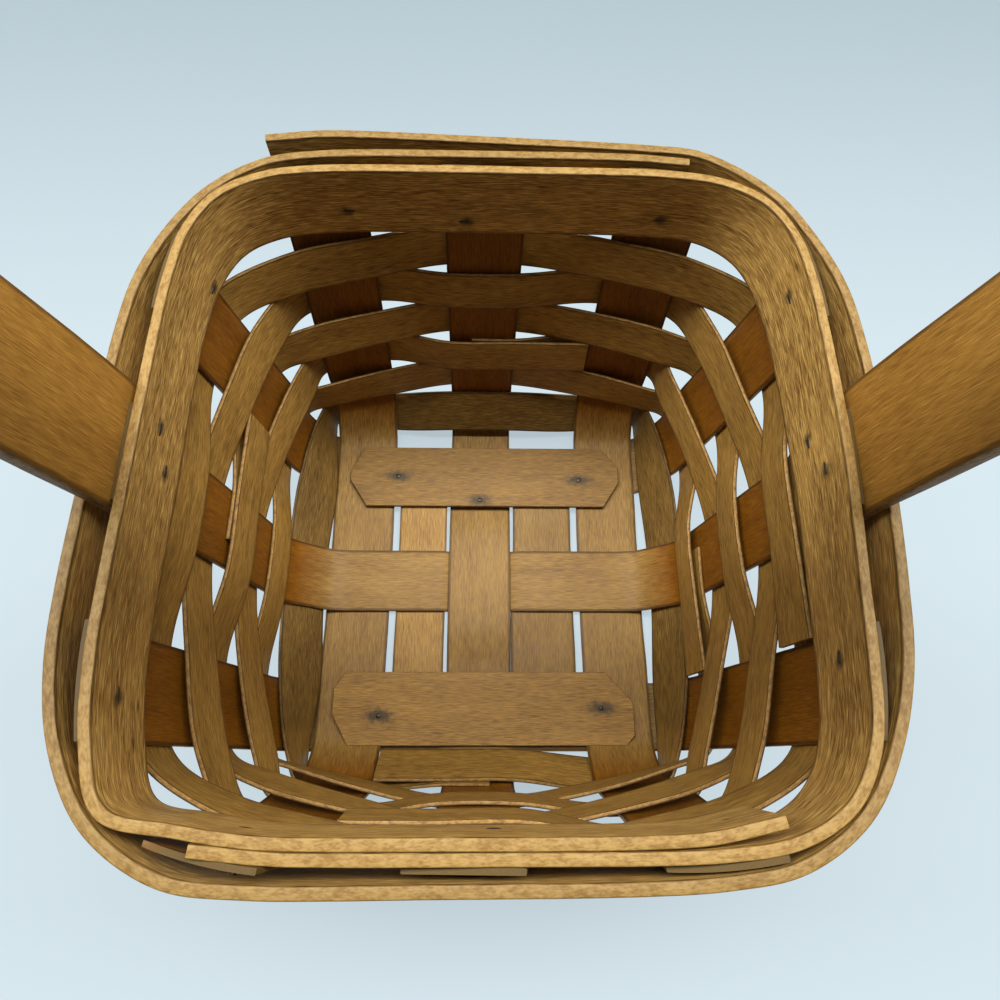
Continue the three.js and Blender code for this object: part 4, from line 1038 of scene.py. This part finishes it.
def cleat_board(name, seed, tone):
    """A clipped board that carries its own grain."""
    (left, right), (front, back), (foot, top) = (extent(name, axis) for axis in (X, Y, Z))
    back_left, back_right, front_right, front_left = np.array(CLEAT_CLIPS[name]) * MM
    outline = [
        (left + front_left[0], front), (right - front_right[0], front),
        (right, front + front_right[1]), (right, back - back_right[1]),
        (right - back_right[0], back), (left + back_left[0], back),
        (left, back - back_left[1]), (left, front + front_left[1]),
    ]
    shape = bmesh.new()
    low = [shape.verts.new((x, y, foot)) for x, y in outline]
    high = [shape.verts.new((x, y, top)) for x, y in outline]
    shape.faces.new(low[::-1])
    shape.faces.new(high)
    for k in range(len(outline)):
        n = (k + 1) % len(outline)
        shape.faces.new((low[k], low[n], high[n], high[k]))
    bmesh.ops.bevel(shape, geom=shape.edges[:], offset=CLEAT_EDGE, segments=2, affect="EDGES", profile=0.5)
    mesh = bpy.data.meshes.new("board_" + name)
    shape.to_mesh(mesh)
    shape.free()
    skin = CLEAT_EDGE / 4
    store(mesh, "grain", [(v.co.x + seed, v.co.y, v.co.z) for v in mesh.vertices], vectors=True)
    store(mesh, "edge", [foot + skin < v.co.z < top - skin for v in mesh.vertices])
    store(mesh, "tone", [tone] * len(mesh.vertices))
    mesh.materials.append(CLEAT_WOOD)
    return fresh_object("board_" + name, mesh)


for name, seed, tone in (("cleat_back", 11.3, -0.12), ("cleat_front", 12.7, 0.15)):
    finish_piece(cleat_board(name, seed, tone), [name])

# %% [markdown]
# ## Handle
#
# One strip is bent into a hoop. Its legs are shaved thin where the bands hold them, and their ends are
# tapered below the rim. A bent box would be thick all along, so the hoop is swept like a splint, and each
# point of its path carries a thickness.

# %% The bent handle
HANDLE_WIDTH, HANDLE_THICKNESS, HANDLE_EDGE = 25.0 * MM, 3.2 * MM, 0.6 * MM
HANDLE_SHIFT = 1.6 * MM
HANDLE_SPRING, HANDLE_LEAN = 134 * MM, 0.2
HANDLE_SHAVE = 14 * MM
HANDLE_TAIL_WIDTH, HANDLE_TAIL = 17 * MM, 6 * MM
HANDLE_FOOT = extent("handle", Z)[0]
HANDLE_EASE, HANDLE_SEED = 8 * MM, 14.6
LEG_STEPS, SPRING_STEPS, ARCH_STEPS = 12, 14, 90


def handle_edges():
    """Both edges of the hoop, and how thick it is, from the right leg's foot to the left one's."""
    leg_out = (SPLINT_THICKNESS + HANDLE_LEG) / 2 + SNUG
    rim = HALF_WIDTH + flare(RIM_TOP) + leg_out
    spring = rim + HANDLE_LEAN * (HANDLE_SPRING - RIM_TOP)
    tilt = math.atan(HANDLE_LEAN)
    radius = spring / math.cos(tilt)
    centre = HANDLE_SPRING + radius * math.sin(tilt)
    held = np.linspace(HANDLE_FOOT, RIM_TOP, LEG_STEPS)
    free = np.linspace(RIM_TOP, HANDLE_SPRING, SPRING_STEPS)
    leg = [(HALF_WIDTH + flare(z) + leg_out, z) for z in held]
    leg += [(rim + HANDLE_LEAN * (z - RIM_TOP), z) for z in free[1:]]
    turns = np.linspace(-tilt, math.pi + tilt, ARCH_STEPS)
    arch = [(radius * math.cos(a), centre + radius * math.sin(a)) for a in turns]
    line = leg[:-1] + arch + [(-x, z) for x, z in leg[::-1][1:]]
    tail = [HANDLE_FOOT, HANDLE_FOOT + HANDLE_TAIL]
    half = np.interp([z for _, z in line], tail, [HANDLE_TAIL_WIDTH, HANDLE_WIDTH]) / 2
    stations = [settle(x, HANDLE_SHIFT - w, z) + settle(x, HANDLE_SHIFT + w, z)
                for (x, z), w in zip(line, half)]
    edges = even(stations, HANDLE_EASE)
    shaved = [RIM_TOP, RIM_TOP + HANDLE_SHAVE]
    return edges, np.interp(edges[0][:, Z], shaved, [HANDLE_LEG / HANDLE_THICKNESS, 1])


handle_section = section("handle_section", HANDLE_WIDTH, HANDLE_THICKNESS, HANDLE_EDGE, columns=10)
edges, thick = handle_edges()
splint("hoop_handle", "bent_handle", edges, HANDLE_WIDTH, handle_section, HANDLE_WOOD, ["handle"],
       HANDLE_SEED, roughness=0, thick=thick)

# %% Remove the sections that the sweeps used
for used in (weaver_section, band_section, upright_section, handle_section):
    bpy.data.objects.remove(used)

# %% [markdown]
# ## Nails
#
# A rim nail shows a round head outside and a short bent tip inside, sunk into the band. A base nail shows
# its head only. Each could be modelled by itself, but they differ only in place, turn and size. So all of
# them are one small bead, put on points by a Geometry Nodes tree, and each point carries a turn and a size.

# %% The tree that puts beads on points
def bead_tree():
    tree = bpy.data.node_groups.new("beads_on_points", "GeometryNodeTree")
    socket(tree, "Points", "Geometry")
    socket(tree, "Bead", "Object")
    socket(tree, "Finish", "Material")
    socket(tree, "Beads", "Geometry", output=True)
    given = node(tree, "NodeGroupInput").outputs
    bead = node(tree, "GeometryNodeObjectInfo", {"Object": given["Bead"], "As Instance": True})
    turn = node(tree, "FunctionNodeEulerToRotation", {"Euler": stored(tree, "turn", "FLOAT_VECTOR")})
    put = node(tree, "GeometryNodeInstanceOnPoints", {
        "Points": given["Points"], "Instance": bead.outputs["Geometry"],
        "Rotation": turn.outputs[0], "Scale": stored(tree, "size", "FLOAT_VECTOR"),
    })
    real = node(tree, "GeometryNodeRealizeInstances", {"Geometry": put.outputs[0]})
    soft = node(tree, "GeometryNodeSetShadeSmooth", {"Geometry": real.outputs[0], "Shade Smooth": True})
    done = node(tree, "GeometryNodeSetMaterial", {"Geometry": soft.outputs[0], "Material": given["Finish"]})
    node(tree, "NodeGroupOutput", {"Beads": done.outputs[0]})
    return tree


BEAD_TREE = bead_tree()
print("bead tree of", len(BEAD_TREE.nodes), "nodes")

# %% The bead and its iron
BEAD_SEGMENTS, BEAD_RINGS = 20, 12
RUST_SCALE, RUST_DETAIL, RUST_RANGE = 1500.0, 3.0, (0.4, 0.65)
IRON_COLOUR, RUST_COLOUR = (52, 46, 42), (82, 62, 44)
IRON_METALLIC, IRON_ROUGHNESS = 0.6, 0.45


def round_bead():
    shape = bmesh.new()
    bmesh.ops.create_uvsphere(shape, u_segments=BEAD_SEGMENTS, v_segments=BEAD_RINGS, radius=1.0)
    mesh = bpy.data.meshes.new("bead")
    shape.to_mesh(mesh)
    shape.free()
    return fresh_object("bead", mesh)


def dull_iron():
    material = bpy.data.materials.new("nail_iron")
    material.use_nodes = True
    tree = material.node_tree
    shader = tree.nodes["Principled BSDF"]
    place = node(tree, "ShaderNodeTexCoord").outputs["Object"]
    rust = node(tree, "ShaderNodeTexNoise", {"Vector": place, "Scale": RUST_SCALE, "Detail": RUST_DETAIL})
    rusty = ramp(tree, rust.outputs[0], *RUST_RANGE)
    colour = mix(tree, rusty, linear(*IRON_COLOUR), linear(*RUST_COLOUR))
    tree.links.new(colour, shader.inputs["Base Color"])
    shader.inputs["Metallic"].default_value = IRON_METALLIC
    shader.inputs["Roughness"].default_value = IRON_ROUGHNESS
    return material


bead = round_bead()
NAIL_IRON = dull_iron()
print("bead of", len(bead.data.polygons), "faces")

# %% Rim nails and base nails
HEAD = (1.4 * MM, 1.4 * MM, 0.45 * MM)
TIP, TIP_SHIFT = (1.3 * MM, 0.42 * MM, 0.22 * MM), 0.6
SHANK_RADIUS = 0.5 * MM
BASE_HEAD = (0.75 * MM, 0.75 * MM, 0.25 * MM)


def wall_turn(nail):
    """The nail's frame: X along the wall, Z outwards."""
    def across(ds, dz):
        ahead, behind = (Vector(wall_spot(nail.wall, nail.s + k * ds, nail.z + k * dz, 0)) for k in (1, -1))
        return (ahead - behind).normalized()
    x = across(MM, 0)
    out = x.cross(across(0, MM)).normalized()
    return Matrix((x, out.cross(x), out)).transposed()


def beads(name, rows, nodes):
    """Puts beads on rows of place, turn and size, as one piece."""
    mesh = bpy.data.meshes.new(name)
    mesh.from_pydata([place for place, _, _ in rows], [], [])
    for key, column in (("turn", 1), ("size", 2)):
        store(mesh, key, [row[column] for row in rows], vectors=True)
    thing = fresh_object(name, mesh)
    apply_tree(thing, BEAD_TREE, {"Bead": bead, "Finish": NAIL_IRON})
    return finish_piece(thing, nodes)


def nail_beads(nail):
    """A rim nail's head outside, its shank, and its bent tip inside."""
    frame_turn = wall_turn(nail)
    turn = tuple(frame_turn.to_euler())
    inner, outer = ([part for part in band if part.wall is nail.wall][-1]
                    for band in (INNER_STRETCHES, OUTER_STRETCHES))
    reach = band_reach(nail.wall)
    lean = foot_lean(inner, nail.s, reach) * (RIM_TOP - nail.z) / band_height
    inner_out = INNER_FACE + stand_off(inner, nail.s, reach) - lean
    outer_out = BAND_OUT + BAND_THICKNESS / 2 + stand_off(outer, nail.s, reach) + HEAD[Z] / 2
    inside, outside = (Vector(wall_spot(nail.wall, nail.s, nail.z, out)) for out in (inner_out, outer_out))
    shank = (SHANK_RADIUS, SHANK_RADIUS, (outside - inside).length / 2)
    tip_place = inside + frame_turn.col[X] * nail.bend * TIP[X] * TIP_SHIFT
    return [(outside, turn, HEAD), ((inside + outside) / 2, turn, shank), (tip_place, turn, TIP)]


rim_rows = [row for nail in rim_nails for row in nail_beads(nail)]
beads("nails_rim", rim_rows, RIM_NAILS)
beads("nails_base", [(place, (0, 0, 0), BASE_HEAD) for place in base_nails], BASE_NAILS)
bpy.data.objects.remove(bead)

# %% [markdown]
# ## Floor, light and camera
#
# The basket stands on a pale floor. The floor glows a little, so it is pale without more light on the basket,
# and it darkens towards the back. For the camera alone, the far floor and the room have one pale colour. One
# soft light hangs above the basket and a little behind it, wide from side to side, so the base and the side
# walls are bright and the back wall's inside lies in shadow. The camera looks down into the basket from close
# by, with a wide lens. Its place and turn were fitted to the photograph.

# %% Floor
ROOM_COLOUR = (204, 216, 222)
FLOOR_REACH = 4.0
FLOOR_COLOUR, FLOOR_ROUGHNESS, FLOOR_SPECULAR = (98, 106, 110), 0.9, 0.1
GLOW_FRONT, GLOW_BACK, GLOW_RANGE = (180, 194, 201), (119, 136, 146), (0.0, 0.32)
FAR_RANGE = (0.5, 2.8)


def pale_floor():
    """A bright floor that darkens a little towards the back, and fades into the room far away."""
    material = bpy.data.materials.new("pale_floor")
    material.use_nodes = True
    tree = material.node_tree
    shader = tree.nodes["Principled BSDF"]
    place = node(tree, "ShaderNodeTexCoord").outputs["Object"]
    back = node(tree, "ShaderNodeSeparateXYZ", {0: place}).outputs["Y"]
    glow = mix(tree, ramp(tree, back, *GLOW_RANGE), linear(*GLOW_FRONT), linear(*GLOW_BACK))
    away = node(tree, "ShaderNodeVectorMath", {0: place}, operation="LENGTH").outputs["Value"]
    seen = node(tree, "ShaderNodeLightPath").outputs["Is Camera Ray"]
    far = calc(tree, "MULTIPLY", ramp(tree, away, *FAR_RANGE), seen)
    glow = mix(tree, far, glow, linear(*ROOM_COLOUR))
    tree.links.new(glow, shader.inputs["Emission Color"])
    shader.inputs["Emission Strength"].default_value = 1.0
    shader.inputs["Base Color"].default_value = linear(*FLOOR_COLOUR)
    shader.inputs["Roughness"].default_value = FLOOR_ROUGHNESS
    shader.inputs["Specular IOR Level"].default_value = FLOOR_SPECULAR
    return material


floor_mesh = bpy.data.meshes.new("floor")
corners = [(x * FLOOR_REACH, y * FLOOR_REACH, 0) for x, y in ((-1, -1), (1, -1), (1, 1), (-1, 1))]
floor_mesh.from_pydata(corners, [], [(0, 1, 2, 3)])
floor = fresh_object("floor", floor_mesh)
floor_mesh.materials.append(pale_floor())
print("floor of", 2 * FLOOR_REACH, "m a side")

# %% Light and room
LAMP_PLACE, LAMP_AIM = Vector((0.0, 0.22, 1.0)), Vector((0, 0.2, 0))
LAMP_WIDTH, LAMP_DEPTH, LAMP_WATTS, LAMP_COLOUR = 3.0, 0.3, 46, (1.0, 0.98, 0.95)
ROOM_LIGHT, ROOM_SHOWN = 0.134, 1.0
lamp = bpy.data.lights.new("ceiling_light", "AREA")
lamp.shape = "RECTANGLE"
lamp.size, lamp.size_y = LAMP_WIDTH, LAMP_DEPTH
lamp.energy = LAMP_WATTS
lamp.color = LAMP_COLOUR
ceiling_light = fresh_object("ceiling_light", lamp)
ceiling_light.location = LAMP_PLACE
ceiling_light.rotation_euler = (LAMP_AIM - LAMP_PLACE).to_track_quat("-Z", "Y").to_euler()

world = bpy.data.worlds.new("pale_room")
bpy.context.scene.world = world
world.use_nodes = True
room = world.node_tree
backdrop = room.nodes["Background"]
backdrop.inputs["Color"].default_value = linear(*ROOM_COLOUR)
seen = node(room, "ShaderNodeLightPath").outputs["Is Camera Ray"]
shown = node(room, "ShaderNodeMapRange", {"Value": seen, "To Min": ROOM_LIGHT, "To Max": ROOM_SHOWN})
room.links.new(shown.outputs[0], backdrop.inputs["Strength"])
print("one light of", LAMP_WATTS, "W and a room of", ROOM_LIGHT)

# %% Camera
IMAGE_SIZE = 1000
FOCAL_PIXELS = 709.99
SENSOR_MM = 36
CLIP_START = 5 * MM
CAMERA_PLACE = (-0.169 * MM, -55.624 * MM, 215.107 * MM)
CAMERA_PITCH, CAMERA_YAW, CAMERA_ROLL = 0.368533, 0.021337, -0.006291
lens = bpy.data.cameras.new("photo_camera")
lens.sensor_width = SENSOR_MM
lens.lens = FOCAL_PIXELS * SENSOR_MM / IMAGE_SIZE
lens.clip_start = CLIP_START
camera = fresh_object("photo_camera", lens)
pitch, yaw, roll = (Matrix.Rotation(angle, 4, axis)
                    for angle, axis in ((CAMERA_PITCH, "X"), (-CAMERA_YAW, "Y"), (-CAMERA_ROLL, "Z")))
camera.matrix_world = Matrix.Translation(CAMERA_PLACE) @ (pitch @ yaw @ roll)
bpy.context.scene.camera = camera
bpy.context.scene.view_settings.view_transform = "Standard"
print("lens of", round(lens.lens, 1), "mm")
